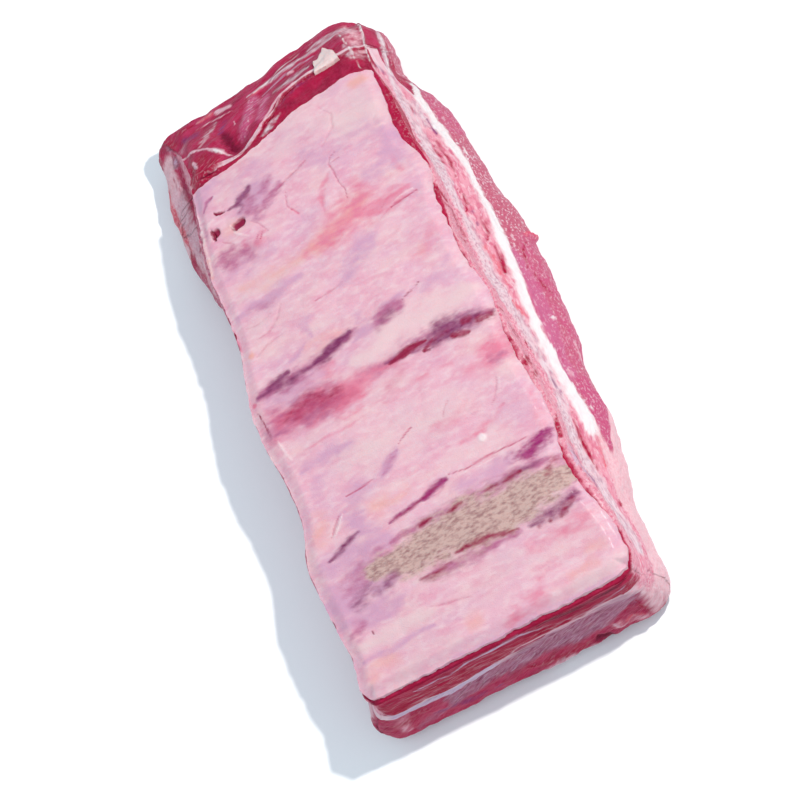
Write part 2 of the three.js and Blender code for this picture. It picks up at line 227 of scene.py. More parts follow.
@dataclass(frozen=True)
class Slab:
    """The slab's driving sizes, and the surfaces that part its layers."""

    near_x: float = 147.5
    half_width: float = 60.0
    height: float = 52.0
    far_radii: tuple[float, float] = (14.0, 3.0)  # right and left corner in plan
    near_radii: tuple[float, float] = (11.0, 7.0)
    near_lean: float = 0.23  # how far the near face runs out for each millimetre down
    near_reach: float = 0.8  # share of the half length beyond which the end's form takes hold
    far_reach: float = 0.9
    end_depths: tuple[float, float] = (4.0, 12.0)  # below the top, where the ends grow uneven
    far_belly: float = 1.5
    tuck_height: float = 7.0  # below it the ends draw in
    near_tuck: float = 5.0
    far_tuck: float = 8.0
    rib_count: int = 4
    rib_pitch: float = 62.0
    rib_last_x: float = 103.0
    rib_width: float = 36.0
    rib_narrowing: float = 0.05
    rib_thickness: float = 13.0
    rib_cover: float = 2.2
    membrane: float = 2.0
    roll: float = 2.6  # how much the plate's rims round off
    roll_reach: float = 6.0
    side_roll: float = 0.7  # share of the roll along the sawn sides
    plate: float = 20.0
    seam: float = 3.2
    seam_thicker: float = 3.4  # how much it gains towards the bulging side
    thicker_y: tuple[float, float] = (20.0, 58.0)
    seam_edge: float = 2.6  # width of its line on the shelf
    seam_tip: float = 1.6
    seam_clear: float = 0.5  # past the last rib, where it starts to climb
    seam_wave: float = 0.8
    seam_near_rise: float = 5.0  # at the near end of the bulging side
    near_rise_x: tuple[float, float] = (120.0, 147.0)
    near_rise_y: tuple[float, float] = (0.0, 25.0)
    shelf_drop: float = 17.0
    shelf_lip: float = 0.6
    shelf_bend: float = 1.35  # above 1 it falls faster towards the shoulder
    shelf_bumps: float = 1.6  # as a share of the plate's lumps
    shelf_roll: float = 2.5
    shelf_roll_reach: float = 9.0
    shelf_pit: Mound = Mound(-122.0, -27.0, 7.0, -4.5)
    shelf_bundle: Mound = Mound(-121.0, -42.0, 8.0, 2.2)
    foot_turn: float = 3.5  # how much the underside's rim turns up
    foot_reach: float = 0.86  # share of the half size where it starts
    gap: float = 0.3
    rib_wave: float = 0.8
    lump_wave: float = 0.55
    wave_room: float = 1.0  # room that the waves take under the full height
    wall_wave: float = 0.35
    wall_finer: tuple[float, float] = (1.7, 7.0)  # how much shorter the walls' waves are, along and up
    bundle_heights: tuple[float, float] = (40.0, 30.0)  # the walls' waves grow between these
    ledge_heights: tuple[float, float] = (26.0, 44.0)

    def rib_x(self, n: int) -> float:
        """Gives the place of a rib's middle along the slab."""
        return self.rib_last_x - self.rib_pitch * (self.rib_count - 1 - n)

    def rounded_plan(self, x: Array, y: Array) -> tuple[Array, Array]:
        """Draws the plan's square corners in to quarter circles.

        Args:
            x: Block positions along the slab.
            y: Block positions across the slab.
        Returns:
            The rounded positions.
        """
        near, right = x > 0, y > 0
        radius = np.where(
            near,
            np.where(right, self.near_radii[0], self.near_radii[1]),
            np.where(right, self.far_radii[0], self.far_radii[1]))
        end_x = np.where(near, self.near_x, curve(SHOULDER_X, y))
        in_x = radius - np.abs(end_x - x)
        in_y = radius - (self.half_width - np.abs(y))
        inside = (in_x > 0) & (in_y > 0)
        reach = np.maximum(np.hypot(in_x, in_y), 1e-9)
        pull = np.where(inside, np.maximum(in_x, in_y) / reach - 1.0, 0.0)
        return x + np.where(near, 1, -1) * in_x * pull, y + np.where(right, 1, -1) * in_y * pull

    def place(self, block_x: Array, block_y: Array, z: Array, ledge: float = 1.0) -> Array:
        """Finds where a point of the straight-sided block lies in the real slab.

        Args:
            block_x: Positions along the block.
            block_y: Positions across the block.
            z: Heights above the table.
            ledge: Share of the ledge that the sawn side leaves beyond the membrane.
        Returns:
            The places, with x, y and z along the last axis.
        """
        x, y = self.rounded_plan(block_x, block_y)
        across = np.abs(y) / self.half_width
        top = np.where(y > 0, curve(RIGHT_EDGE, x), curve(LEFT_EDGE, x))
        low = np.where(y > 0, curve(RIGHT_LOW, x), curve(LEFT_LOW, x))
        along, up = self.wall_finer
        bundles = self.wall_wave * lumps(x * along, z * up) * smooth(*self.bundle_heights, z)
        shelf = ledge * smooth(*self.ledge_heights, z)
        outward = (low - top) * curve(SIDE_SHARE, z) + bundles
        outward = outward + shelf * np.where(y > 0, curve(RIGHT_LEDGE, x), curve(LEFT_LEDGE, x))
        depth = self.height - z
        ends = self.wall_wave * lumps(y * along, z * up) * smooth(*self.end_depths, depth)
        tuck = smooth(self.tuck_height, 0, z)
        near_form = self.near_lean * depth + ends - self.near_tuck * tuck
        to_near = smooth(self.near_reach, 1, x / self.near_x) * near_form
        belly = self.far_belly * np.sin(np.pi * np.clip(z / (self.height - self.shelf_drop), 0, 1))
        to_far = smooth(self.far_reach, 1, x / curve(SHOULDER_X, y)) * (belly + ends - self.far_tuck * tuck)
        wide = np.sign(y) * (top * across + outward * across**4)
        return np.stack([x + to_near - to_far, wide, z + 0 * x], axis=-1)

    def plate_top(self, x: Array, y: Array) -> Array:
        """Gives the top of the rib plate, which rises a little over each bone.

        Args:
            x: Places along the slab.
            y: Places across the slab.
        Returns:
            The heights above the table.
        """
        over_ribs = np.cos(2 * np.pi * (x - self.rib_last_x) / self.rib_pitch)
        rounding = self.roll * (
            smooth(self.near_x - self.roll_reach, self.near_x, x)
            + self.side_roll * smooth(self.half_width - self.roll_reach, self.half_width, np.abs(y)))
        level = self.height - self.membrane - self.gap - self.wave_room
        return level + self.rib_wave * over_ribs + self.lump_wave * lumps(x, y) - rounding

    def shelf_top(self, x: Array, y: Array) -> Array:
        """Gives the shelf's surface, which falls from the membrane's end to the shoulder.

        Args:
            x: Places along the slab.
            y: Places across the slab.
        Returns:
            The heights above the table.
        """
        root, shoulder = curve(MEMBRANE_END_X, y), curve(SHOULDER_X, y)
        along = np.clip((root - x) / (root - shoulder), 0, 1)
        edge = self.shelf_roll * smooth(self.half_width - self.shelf_roll_reach, self.half_width, np.abs(y))
        bumps = self.lump_wave * self.shelf_bumps * lumps(x * 2.1, y * 1.6) * smooth(0, 0.2, along)
        fall = self.shelf_lip + self.shelf_drop * along**self.shelf_bend
        level = self.plate_top(root, y) - fall
        return level + self.shelf_pit.at(x, y) + self.shelf_bundle.at(x, y) + bumps - edge

    def seam_rise(self, x: Array, y: Array) -> Array:
        """Gives how far the seam has climbed from under the bones to its line on the shelf."""
        foot = self.rib_x(0) - self.rib_width / 2 - self.seam_clear
        return smooth(foot, curve(SEAM_LINE_X, y), x)

    def seam_top(self, x: Array, y: Array) -> Array:
        """Gives the top of the fat seam.

        Args:
            x: Places along the slab.
            y: Places across the slab.
        Returns:
            The heights above the table.
        """
        rise = self.seam_near_rise * smooth(*self.near_rise_x, x) * smooth(*self.near_rise_y, y)
        level = self.height - self.plate + self.seam_wave * lumps(x + 40, y - 20) + rise
        line = curve(SEAM_LINE_X, y)
        return lerp(level, self.shelf_top(line, y) - self.seam_tip - self.gap, self.seam_rise(x, y))

    def seam_bottom(self, x: Array, y: Array) -> Array:
        """Gives the bottom of the fat seam, which is the top of the muscle under it."""
        thick = self.seam + self.seam_thicker * smooth(*self.thicker_y, y)
        return self.seam_top(np.maximum(x, curve(SEAM_LINE_X, y)), y) - thick

    def foot(self, x: Array, y: Array) -> Array:
        """Gives the muscle's underside, flat with a rim that turns up a little."""
        out = np.maximum(np.abs(y) / self.half_width, np.abs(x) / self.near_x)
        return self.foot_turn * smooth(self.foot_reach, 1, out) ** 1.5


SLAB = Slab()


# ------------------------------------------------------------------ marks: stains, creases and flakes
class Tint(Enum):
    """A colour that marks lay over a surface, each kept as a weight on the mesh's points."""

    CREAM = "cream"
    PEACH = "peach"
    ROSE = "rose"
    LAVENDER = "lavender"
    MAUVE = "mauve"
    PURPLE = "purple"
    MAGENTA = "magenta"
    BLOOD = "blood"
    TAN = "tan"
    CREASE = "crease"
    WHITE = "white"
    PALE = "pale"
    GRANULAR = "granular"
    DUSTY = "dusty"
    SILVER = "silver"
    CORAL = "coral"
    BRIGHT = "bright"
    DARK = "dark"
    FAT = "fat"


TAPER = 0.6  # share of its width that a long stroke loses at its ends
END_FADE = 5.0  # millimetres over which a band's ends die away
EDGE_DRIFT = 0.35  # millimetres that a band's edges wander
DRIFT_SIZE = 9.0
DRIFT_SEEDS = (11, 12, 13)


@dataclass(frozen=True)
class Stroke:
    """One mark: a short path with a width, a strength, a soft edge and a rise of the surface."""

    path: Knots
    width: float
    strength: float = 1.0
    fade: float = 1.0  # share of the half width over which it dies away
    rise: float = 0.0  # below 0 it cuts in
    face: Face = Face.TOP

    def cover(self, points: Array, facing: Array, drift: Array) -> tuple[Array, Array]:
        """Finds which points the mark covers, and how strongly.

        Args:
            points: Places on the surface, as an (n, 3) array.
            facing: Outward direction at each place.
            drift: Smooth noise at each place, which makes the edges wander.
        Returns:
            The indices of the covered points, and the cover there from 0 to 1.
        """
        axes = list(self.face.value[:2])
        knots = np.array(self.path, float)
        wander = min(0.3 + 0.1 * self.width, 3.0)
        margin = self.width / 2 + 1.8 * wander
        place = points[:, axes]
        near = (place > knots.min(0) - margin).all(axis=1) & (place < knots.max(0) + margin).all(axis=1)
        found = np.flatnonzero(near)
        place = place[found] + wander * drift[found][:, axes]
        lengths = np.hypot(*np.diff(knots, axis=0).T)
        nearest, gone = np.full(len(found), np.inf), np.zeros(len(found))
        for a, b, passed, length in zip(knots[:-1], knots[1:], np.cumsum(lengths) - lengths, lengths):
            along = np.clip((place - a) @ (b - a) / max(length**2, 1e-9), 0, 1)
            distance = np.hypot(*(place - a - along[:, None] * (b - a)).T)
            gone = np.where(distance < nearest, passed + along * length, gone)
            nearest = np.minimum(nearest, distance)
        total = max(lengths.sum(), 1e-9)
        slim = TAPER * smooth(0.8, 2.5, np.array(total / self.width)) * (2 * gone / total - 1) ** 2
        cover = 1.0 - smooth(1.0 - self.fade, 1.0, nearest / (self.width / 2 * (1 - slim)))
        return found, cover * self.face.weight(facing[found])


@dataclass(frozen=True)
class Band:
    """One mark between two edges along a side, as of a layer that the saw cut through."""

    upper: Knots
    lower: Knots
    strength: float = 1.0
    soft: float = 0.9  # millimetres over which an edge dies away
    rise: float = 0.0
    face: Face = Face.RIGHT

    def cover(self, points: Array, facing: Array, drift: Array) -> tuple[Array, Array]:
        """Finds which points the mark covers, and how strongly.

        Args:
            points: Places on the surface, as an (n, 3) array.
            facing: Outward direction at each place.
            drift: Smooth noise at each place, which makes the edges wander.
        Returns:
            The indices of the covered points, and the cover there from 0 to 1.
        """
        along, height = self.face.value[:2]
        start, end = self.upper[0][0], self.upper[-1][0]
        found = np.flatnonzero((points[:, along] > start) & (points[:, along] < end))
        u, v = points[found, along], points[found, height] + EDGE_DRIFT * drift[found, height]
        top, bottom = curve(self.upper, u), curve(self.lower, u)
        half = self.soft / 2
        inside = smooth(-half, half, top - v) * smooth(-half, half, v - bottom)
        ends = smooth(start, start + END_FADE, u) * smooth(end, end - END_FADE, u)
        return found, inside * ends * self.face.weight(facing[found])


Marks = dict[Tint, tuple[Stroke | Band, ...]]


def paint(marks: Marks, points: Array, facing: Array) -> tuple[dict[str, Array], Array]:
    """Lays marks over a surface.

    Args:
        marks: The strokes and bands of each tint.
        points: Places on the surface, as an (n, 3) array.
        facing: Outward direction at each place.
    Returns:
        The weight of each tint by its name, and the rise of the surface in millimetres.
    """
    drift = np.stack([noise(points, DRIFT_SIZE, seed, 3) for seed in DRIFT_SEEDS], axis=1)
    rise = np.zeros(len(points))
    weights = {}
    for tint, strokes in marks.items():
        weight = np.zeros(len(points))
        for stroke in strokes:
            found, cover = stroke.cover(points, facing, drift)
            weight[found] += (1.0 - weight[found]) * cover * stroke.strength
            rise[found] += cover * stroke.rise
        weights[tint.value] = weight
    return weights, rise


MEMBRANE_MARKS: Marks = {
    Tint.CREAM: (
        Stroke(((-96, 44), (-99, 28)), 35.1, 0.8),
        Stroke(((-108, 12), (-104, -4)), 21.6, 0.4),
        Stroke(((-44, -14), (-43, -50)), 9.5, 0.6),
        Stroke(((-27, -43), (-26.5, -48)), 10.8, 0.6),
        # the second bone shows through
        Stroke(((8, 50), (8.5, 30), (9, 10), (10, -12)), 25.7, 0.9, 1, 0.35),
        Stroke(((-13, -14), (-12, -24)), 10.8, 0.5),
        Stroke(((52, 24), (50, 0), (50, -34)), 32.4, 0.5),
        Stroke(((72, 34), (72, 8)), 16.2, 0.35),
        Stroke(((124, -22), (126, -40), (126, -58)), 10.8, 0.8, 1, 0.2),
        Stroke(((124, 36), (123, 0)), 16.2, 0.4),
        Stroke(((141, 52), (144, 30)), 12.2, 0.5),
        Stroke(((141, -20), (142, -44)), 16.2, 0.4),
    ),
    Tint.PEACH: (
        Stroke(((-112, 45), (-111.5, 39)), 8.8, 0.9),
        Stroke(((-57, 18), (-52, 8), (-48, -6)), 20.2, 0.75),
        Stroke(((-47, -8), (-46, -24), (-46.5, -46)), 14.9, 0.5),
        Stroke(((-4, -14), (-6, -30)), 10.8, 0.35),
        Stroke(((-21, 37), (-20, 36)), 8.1, 0.4),
        Stroke(((74, -16), (76, -28)), 12.2, 0.45),
        Stroke(((66, -52), (77, -56)), 12.2, 0.5),
        Stroke(((133, 50), (133, 45)), 9.5, 0.5),
        Stroke(((136, -7), (137, -10)), 10.8, 0.6),
        Stroke(((138, 44), (139, 34)), 8.1, 0.4),
        Stroke(((134, -46), (138, -57)), 12.2, 0.4),
        Stroke(((-78, -33), (-76.5, -40)), 12.2, 0.4, 1, 0.3),
        Stroke(((-15, -53), (-14.6, -53.6)), 4.1, 0.9),
        Stroke(((-90, -56), (-60, -57)), 6.8, 0.5),
    ),
    Tint.ROSE: (
        # the coral band past the first bone
        Stroke(((-58, 20), (-53, 11), (-50, 1)), 24.3, 0.75),
        Stroke(((-48, -1), (-47, -12)), 10.8, 0.4),
        Stroke(((-51, 42), (-49, 32), (-49.5, 24), (-51, 16)), 12, 0.8),
        Stroke(((-66, 21), (-60, 22)), 12.2, 0.3),
        Stroke(((-68, 42), (-60, 42.5)), 5.4, 0.5),
        Stroke(((-77, 12), (-73, 8), (-68, 4.5), (-61, 3.5)), 6.1, 0.55, 1, -0.2),
        Stroke(((-71, -10.2), (-69, -9), (-66.8, -7.8)), 2.3, 1, 1, -0.35),
        Stroke(((-68, -26.5), (-65, -30)), 8.1, 0.55),
        Stroke(((-68, -36), (-64, -36.5)), 4.7, 0.5),
        Stroke(((-73, -56), (-72.6, -56.6)), 2.7, 0.9),
        Stroke(((-46.2, 32), (-44.8, 27), (-43.3, 24.5)), 2, 0.6, 1, -0.2),
        Stroke(((-46, 20), (-45, 2)), 13.5, 0.35),
        Stroke(((-24, 44), (-20, 34)), 16.2, 0.25),
        Stroke(((-36, -58.6), (-31, -57.6), (-20, -57)), 3.2, 0.9),
        Stroke(((7, -21), (8.5, -25)), 9.5, 0.45),
        Stroke(((19.5, 4), (20, -9), (20.5, -22)), 13, 0.9),
        # the crimson wash between bones
        Stroke(((22, -18), (19, -32), (20, -54)), 27, 0.95),
        Stroke(((35, 51), (35, 42)), 13.5, 0.7),
        Stroke(((41.5, 50), (42, 42)), 13.5, 0.75),
        Stroke(((40, 38), (41, 31)), 8.1, 0.4),
        Stroke(((34.5, 26), (34.8, 10), (35, -6)), 8.1, 0.4),
        Stroke(((36, -14), (36.6, -30), (36.8, -47)), 3, 0.5),
        Stroke(((31.8, -16), (33, -26)), 3, 0.35),
        Stroke(((61, 39), (64, 33), (66.5, 26), (67.8, 15)), 4.9, 0.5, 1, -0.25),
        Stroke(((57, 26), (56, 6)), 12.2, 0.25),
        Stroke(((121, 51), (121, 42)), 13.5, 0.5),
        Stroke(((122, 38), (121, 24)), 9.5, 0.35),
        Stroke(((142, 8), (144, 3)), 9.5, 0.6),
        Stroke(((140, 19), (141, 9)), 12.2, 0.4),
        Stroke(((133, 25), (134, 22)), 5.4, 0.45),
        Stroke(((5, -61.5), (6, -61)), 3.5, 1),
        Stroke(((62, 52), (78, 50)), 9.5, 0.35),
        Stroke(((26, 52), (44, 53)), 9.5, 0.5),
    ),
    Tint.LAVENDER: (
        Stroke(((-79, 46), (-72, 43)), 23.8, 0.95),
        Stroke(((-68, 38), (-64, 30)), 15.4, 0.5),
        Stroke(((-88, 36), (-84, 16), (-90, 6)), 23.8, 0.45),
        Stroke(((-103, -41), (-99, -50)), 18.2, 0.75),
        Stroke(((-88, -19), (-84, -29)), 22.4, 0.9),
        Stroke(((-100, -16), (-96, -28)), 15.4, 0.35),
        Stroke(((-58, -28), (-56, -50)), 15.4, 0.4),
        Stroke(((-39, 15), (-33, 8), (-27, 0)), 16.8, 0.8),
        Stroke(((-37.5, -19), (-37, -36), (-35.5, -53)), 12.6, 0.9, 1, -0.25),
        Stroke(((-18.5, -20), (-17, -27), (-9, -25)), 7, 0.5),
        Stroke(((-10, 46), (-4, 38), (-2, 28)), 9.8, 0.45),
        Stroke(((-5, 19), (-3, 11)), 9.8, 0.7),
        Stroke(((0, 5), (1, -7)), 9.8, 0.8),
        Stroke(((-7, -3), (-1, -4)), 9.8, 0.6),
        Stroke(((-7.5, -29), (-5, -34), (-3.2, -39)), 4.5, 0.9),
        Stroke(((8, -28), (9, -54)), 15.4, 0.7),
        Stroke(((43, -27), (44, -40), (45, -53)), 11.2, 0.9, 1, -0.2),
        Stroke(((50, -47), (57, -50)), 8.4, 0.5),
        Stroke(((57, -10), (60, -15), (63.8, -21)), 7.8, 1, 1),
        Stroke(((64, -32), (72, -40), (80, -35)), 18.2, 0.7),
        Stroke(((88, -30), (88, -56)), 19.6, 0.85),
        Stroke(((84, 32), (84, 6)), 14, 0.7),
        Stroke(((102, -42), (106, -58)), 33.6, 1),
        Stroke(((116, -34), (116, -56)), 12.6, 0.8),
        Stroke(((130.8, -25), (131.3, -40), (131.6, -59)), 5, 0.85),
        Stroke(((146.3, 55), (146.6, 20), (146.3, -24)), 4.8, 0.7),
        Stroke(((-60, 48), (-50, 47)), 12.6, 0.3),
    ),
    Tint.MAUVE: (
        Stroke(((-90, -14), (-86.5, -19)), 8.4, 0.55),
        Stroke(((-84, -10), (-81, -17), (-79, -21)), 7.7, 0.75),
        Stroke(((-86, -26), (-82, -29), (-78, -26)), 11.2, 0.7),
        Stroke(((-64, -36), (-63, -45)), 15.4, 0.8),
        Stroke(((-68, -43), (-66, -51)), 9.8, 0.5),
        Stroke(((-97.5, -42.5), (-96, -46), (-92.5, -49)), 3.4, 0.9, 1, -0.4),
        Stroke(((-86, -52.5), (-81, -54)), 8.4, 0.6),
        Stroke(((-34.5, -34), (-35, -45)), 8.4, 0.3),
        Stroke(((-2, 15), (0.5, 5)), 12.6, 0.9),
        Stroke(((-2.6, -7), (0, -16), (3, -28), (4, -36), (4.4, -46), (4, -58)), 11, 0.8),
        Stroke(((3, -50), (4.5, -57)), 8.4, 0.9),
        Stroke(((20, -28), (18, -40), (19, -56)), 26, 0.5),
        Stroke(((23.4, -25), (23.6, -56)), 11.2, 0.5, 1),
        Stroke(((20, 50), (18, 27), (19, 4)), 17, 0.5),
        Stroke(((19, 2), (19, -10)), 12.6, 0.35),
        Stroke(((42, 48), (42.5, 42)), 9.8, 0.45),
        Stroke(((56.5, -10), (60, -15), (63.5, -20.5)), 5.6, 0.5),
        Stroke(((91, 46), (90.5, 30), (91, 10), (90.5, -10), (91, -28)), 9.8, 0.85),
        Stroke(((113.5, 24), (114, 0), (112, -22)), 9.8, 0.8),
        Stroke(((96, -34), (101, -50)), 19.6, 0.6),
        Stroke(((117, -54), (121, -58)), 9.8, 0.5),
        Stroke(((92, 50), (112, 50)), 9.8, 0.6),
    ),
    Tint.PURPLE: (
        Stroke(((-91.5, -24), (-89.5, -29), (-87, -33.5)), 6.5, 0.9),
        Stroke(((-87.3, -33), (-86.7, -38)), 2.6, 0.9),
        Stroke(((0, 12), (1, 8)), 7.8, 0.5),
        Stroke(((-2.6, -9), (0, -16), (2.2, -22), (3, -28)), 9, 1, 1),
        Stroke(((3, -28), (4, -36), (4.4, -46), (4, -58)), 5.6, 0.65, 1),
        Stroke(((0.2, -41.5), (1.4, -47), (3, -52)), 6.2, 0.95, 1),
        Stroke(((20.5, 43), (18, 33), (17, 27)), 14.3, 0.75),
        Stroke(((21, 52), (20, 36), (19.5, 20), (18.6, 0)), 8, 0.6),
        Stroke(((21, 31), (22, 22)), 7.8, 0.8),
        Stroke(((18, -30), (18, -42)), 16.9, 0.25),
        Stroke(((78, 2), (79.5, -5), (81, -11)), 4.2, 0.7),
        Stroke(((80.8, -39), (82.8, -46), (84.5, -51), (86.2, -56)), 4.9, 0.85, 1),
        Stroke(((109.5, 50), (112.5, 41), (113, 29)), 10.4, 0.75),
        Stroke(((105, -32), (108, -37)), 7.8, 0.6),
        Stroke(((107, -44), (108.5, -51)), 11.7, 0.5),
        Stroke(((90.5, 44), (90.5, 20)), 4.4, 0.5),
        Stroke(((-85, -31), (-83, -33)), 4.4, 0.4),
    ),
    Tint.MAGENTA: (
        Stroke(((80.5, 51), (83.5, 45.5), (85.5, 38)), 10.6, 0.95, 1),
        Stroke(((84, 38), (84, 32)), 7.5, 0.35),
        Stroke(((78.3, 3.5), (79.5, -3), (80.5, -9)), 6.5, 0.95, 1, -0.25),
        Stroke(((80.5, -9), (82.3, -17), (83.6, -26)), 3.8, 0.9, 1, -0.2),
        Stroke(((-66, -45), (-62, -50)), 6.2, 0.3),
    ),
    Tint.BLOOD: (
        Stroke(((-87, -39.5), (-87.5, -43.5), (-89, -44.2)), 2, 1, 0.5, -0.9),
        Stroke(((-78, -34), (-77.2, -37.5)), 4.6, 1, 0.35, -1.7),
        Stroke(((-81.3, -48.7), (-76.6, -48.5)), 2.6, 1, 0.4, -1.3),
        Stroke(((-79.2, -46), (-78.7, -47.6)), 4, 1, 0.4, -1.4),
        Stroke(((-6.8, 29), (-5.2, 24.5), (-3.3, 18.5)), 1.3, 0.55, 0.8, -0.35),
        Stroke(((22, 51), (22.5, 45)), 7, 0.8),
        Stroke(((19.5, 41), (19.8, 38.5)), 5, 0.8, 0.7),
        Stroke(((25, 38), (22.8, 32)), 4.4, 0.85, 0.7),
        Stroke(((20, 30), (21, 24)), 5, 0.35),
        Stroke(((18.8, 20), (18.5, 13), (19.3, 7), (20, 2)), 4.8, 1, 0.6),
        Stroke(((20, 23), (22.8, 18), (23.6, 20.5)), 3, 0.8, 0.7),
        Stroke(((19, -24), (17.5, -36), (19, -50)), 14, 0.5),
        Stroke(((78.5, 0), (80, -6), (82.5, -16), (83.6, -25)), 2.2, 0.5),
        Stroke(((90.5, 33), (91, 25)), 4.4, 0.75),
        Stroke(((90.5, 22), (91, 17)), 3.4, 0.6),
        Stroke(((91, 6), (91.3, -1)), 3.4, 0.7),
        Stroke(((90, -8.5), (91, -14.5)), 4, 0.95),
        Stroke(((92, 48), (97, 43)), 6, 0.5),
        Stroke(((111, 48), (115, 41)), 5, 0.6),
        Stroke(((112, 23), (109, 10), (109, -5)), 6, 0.85),
        Stroke(((112, -8), (112, -23)), 3.4, 0.6),
        Stroke(((115, 44), (115.2, 43.6)), 2.4, 0.8),
        Stroke(((115.2, 36), (115.4, 35.6)), 2.6, 0.7),
        Stroke(((115, 31), (115.3, 30.6)), 2.2, 0.7),
        Stroke(((121.6, -49.9), (122.9, -50)), 1.4, 0.9),
        Stroke(((10, -60.8), (17, -60.2), (24, -59.4)), 1.4, 0.9),
    ),
    Tint.TAN: (
        Stroke(((100.5, 50), (101.5, 20), (101, 0), (101, -22), (100, -40)), 34, 1, 0.7, -0.25),
    ),
    Tint.CREASE: (
        Stroke(((23, -18), (20, -34), (19, -54)), 17, 0.6, 1),
        Stroke(((24, 6), (30, -2)), 9, 0.25, 1),
        Stroke(((-85, 19.5), (-83, 16), (-80.5, 14.5), (-76, 15), (-70, 15), (-66, 16),
                (-61, 15)), 1.3, 0.6, 0.9, -0.4),
        Stroke(((-80.7, 20), (-80.2, 15)), 1.1, 0.5, 0.9, -0.25),
        Stroke(((-88.5, 5), (-86.5, -2), (-84.5, -8), (-82.5, -13)), 2, 0.6, 1, -0.4),
        Stroke(((-79.5, -9.3), (-76, -10.2), (-73, -11), (-70.5, -10)), 1.1, 0.6, 0.9, -0.3),
        Stroke(((-76.5, -30), (-73, -27), (-67, -24)), 1.2, 0.45, 1, -0.3),
        Stroke(((-74, -46), (-70, -41)), 1.2, 0.4, 1, -0.3),
        Stroke(((-47.5, 45.5), (-46.9, 38), (-46.1, 31)), 1.6, 1, 0.8, -0.5),
        Stroke(((-69, -26.5), (-65, -29.2)), 1, 0.8, 0.8, -0.2),
        Stroke(((-68.5, -29), (-66, -31)), 1, 0.6, 0.8, -0.2),
        Stroke(((-49.5, 30), (-47.8, 26.5)), 1, 0.35, 1, -0.2),
        Stroke(((-25, -2), (-23.8, -8), (-23, -17)), 1.8, 0.45, 1, -0.35),
        Stroke(((-31, -32), (-25.5, -36), (-22, -41), (-20.5, -48)), 2, 0.35, 1, -0.35),
        Stroke(((-29, -38), (-27, -45), (-28, -51)), 1.6, 0.25, 1, -0.25),
        Stroke(((-18, -36), (-16, -46), (-13, -52)), 1.6, 0.3, 1, -0.3),
        Stroke(((49.5, 41), (54, 39), (57, 37), (59.5, 33.5)), 1.1, 0.4, 0.9, -0.3),
        Stroke(((48.5, 19), (50.5, 16), (54, 13.5)), 1.1, 0.4, 0.9, -0.25),
        Stroke(((50.8, 0), (52.2, -4), (54.8, -8.2)), 1.2, 0.9, 0.8, -0.35),
        Stroke(((63.2, -23.5), (63.8, -30), (64.3, -39)), 1.2, 0.85, 0.8, -0.35),
        Stroke(((70, -44.5), (73.5, -48), (77.5, -51.5)), 1.5, 0.6, 0.9, -0.45),
        Stroke(((79.2, 47), (78.6, 36), (77.6, 25), (78, 13), (77, 5)), 1.2, 0.9, 0.8, -0.4),
        Stroke(((127.5, -6), (125.8, -16), (123, -24)), 1.8, 0.4, 1, -0.25),
        Stroke(((-110, 21), (-104, 24.5), (-97, 23), (-90, 14)), 2.2, 0.2, 1, -0.25),
    ),
    Tint.WHITE: (
        Stroke(((-79.5, -39.5), (-74, -38), (-70, -33)), 2.4, 0.6, 1, 0.3),
        Stroke(((-85, -46), (-84, -50)), 4, 0.5, 1, 0.3),
        Stroke(((-48.9, 44), (-48.3, 34)), 1.6, 0.5, 1, 0.25),
        Stroke(((50, 42.2), (55, 40)), 1.3, 0.4, 1, 0.2),
        Stroke(((69.5, 25), (69.7, 25)), 4.6, 0.8, 0.5, 0.35),
        Stroke(((70, -42.8), (74, -46), (77.5, -49.5)), 1.4, 0.6, 0.9, 0.3),
        Stroke(((80.2, 32), (79.2, 12)), 1.3, 0.4, 1, 0.15),
        Stroke(((27, -57), (33, -56), (38, -54)), 2.6, 0.5, 0.8, 0.25),
        Stroke(((-104, -52), (-86, -53.5), (-62, -57)), 3, 0.5, 1, 0.3),
    ),
}


R, L, N, F = Face.RIGHT, Face.LEFT, Face.NEAR, Face.FAR  # kept short for the lists of marks

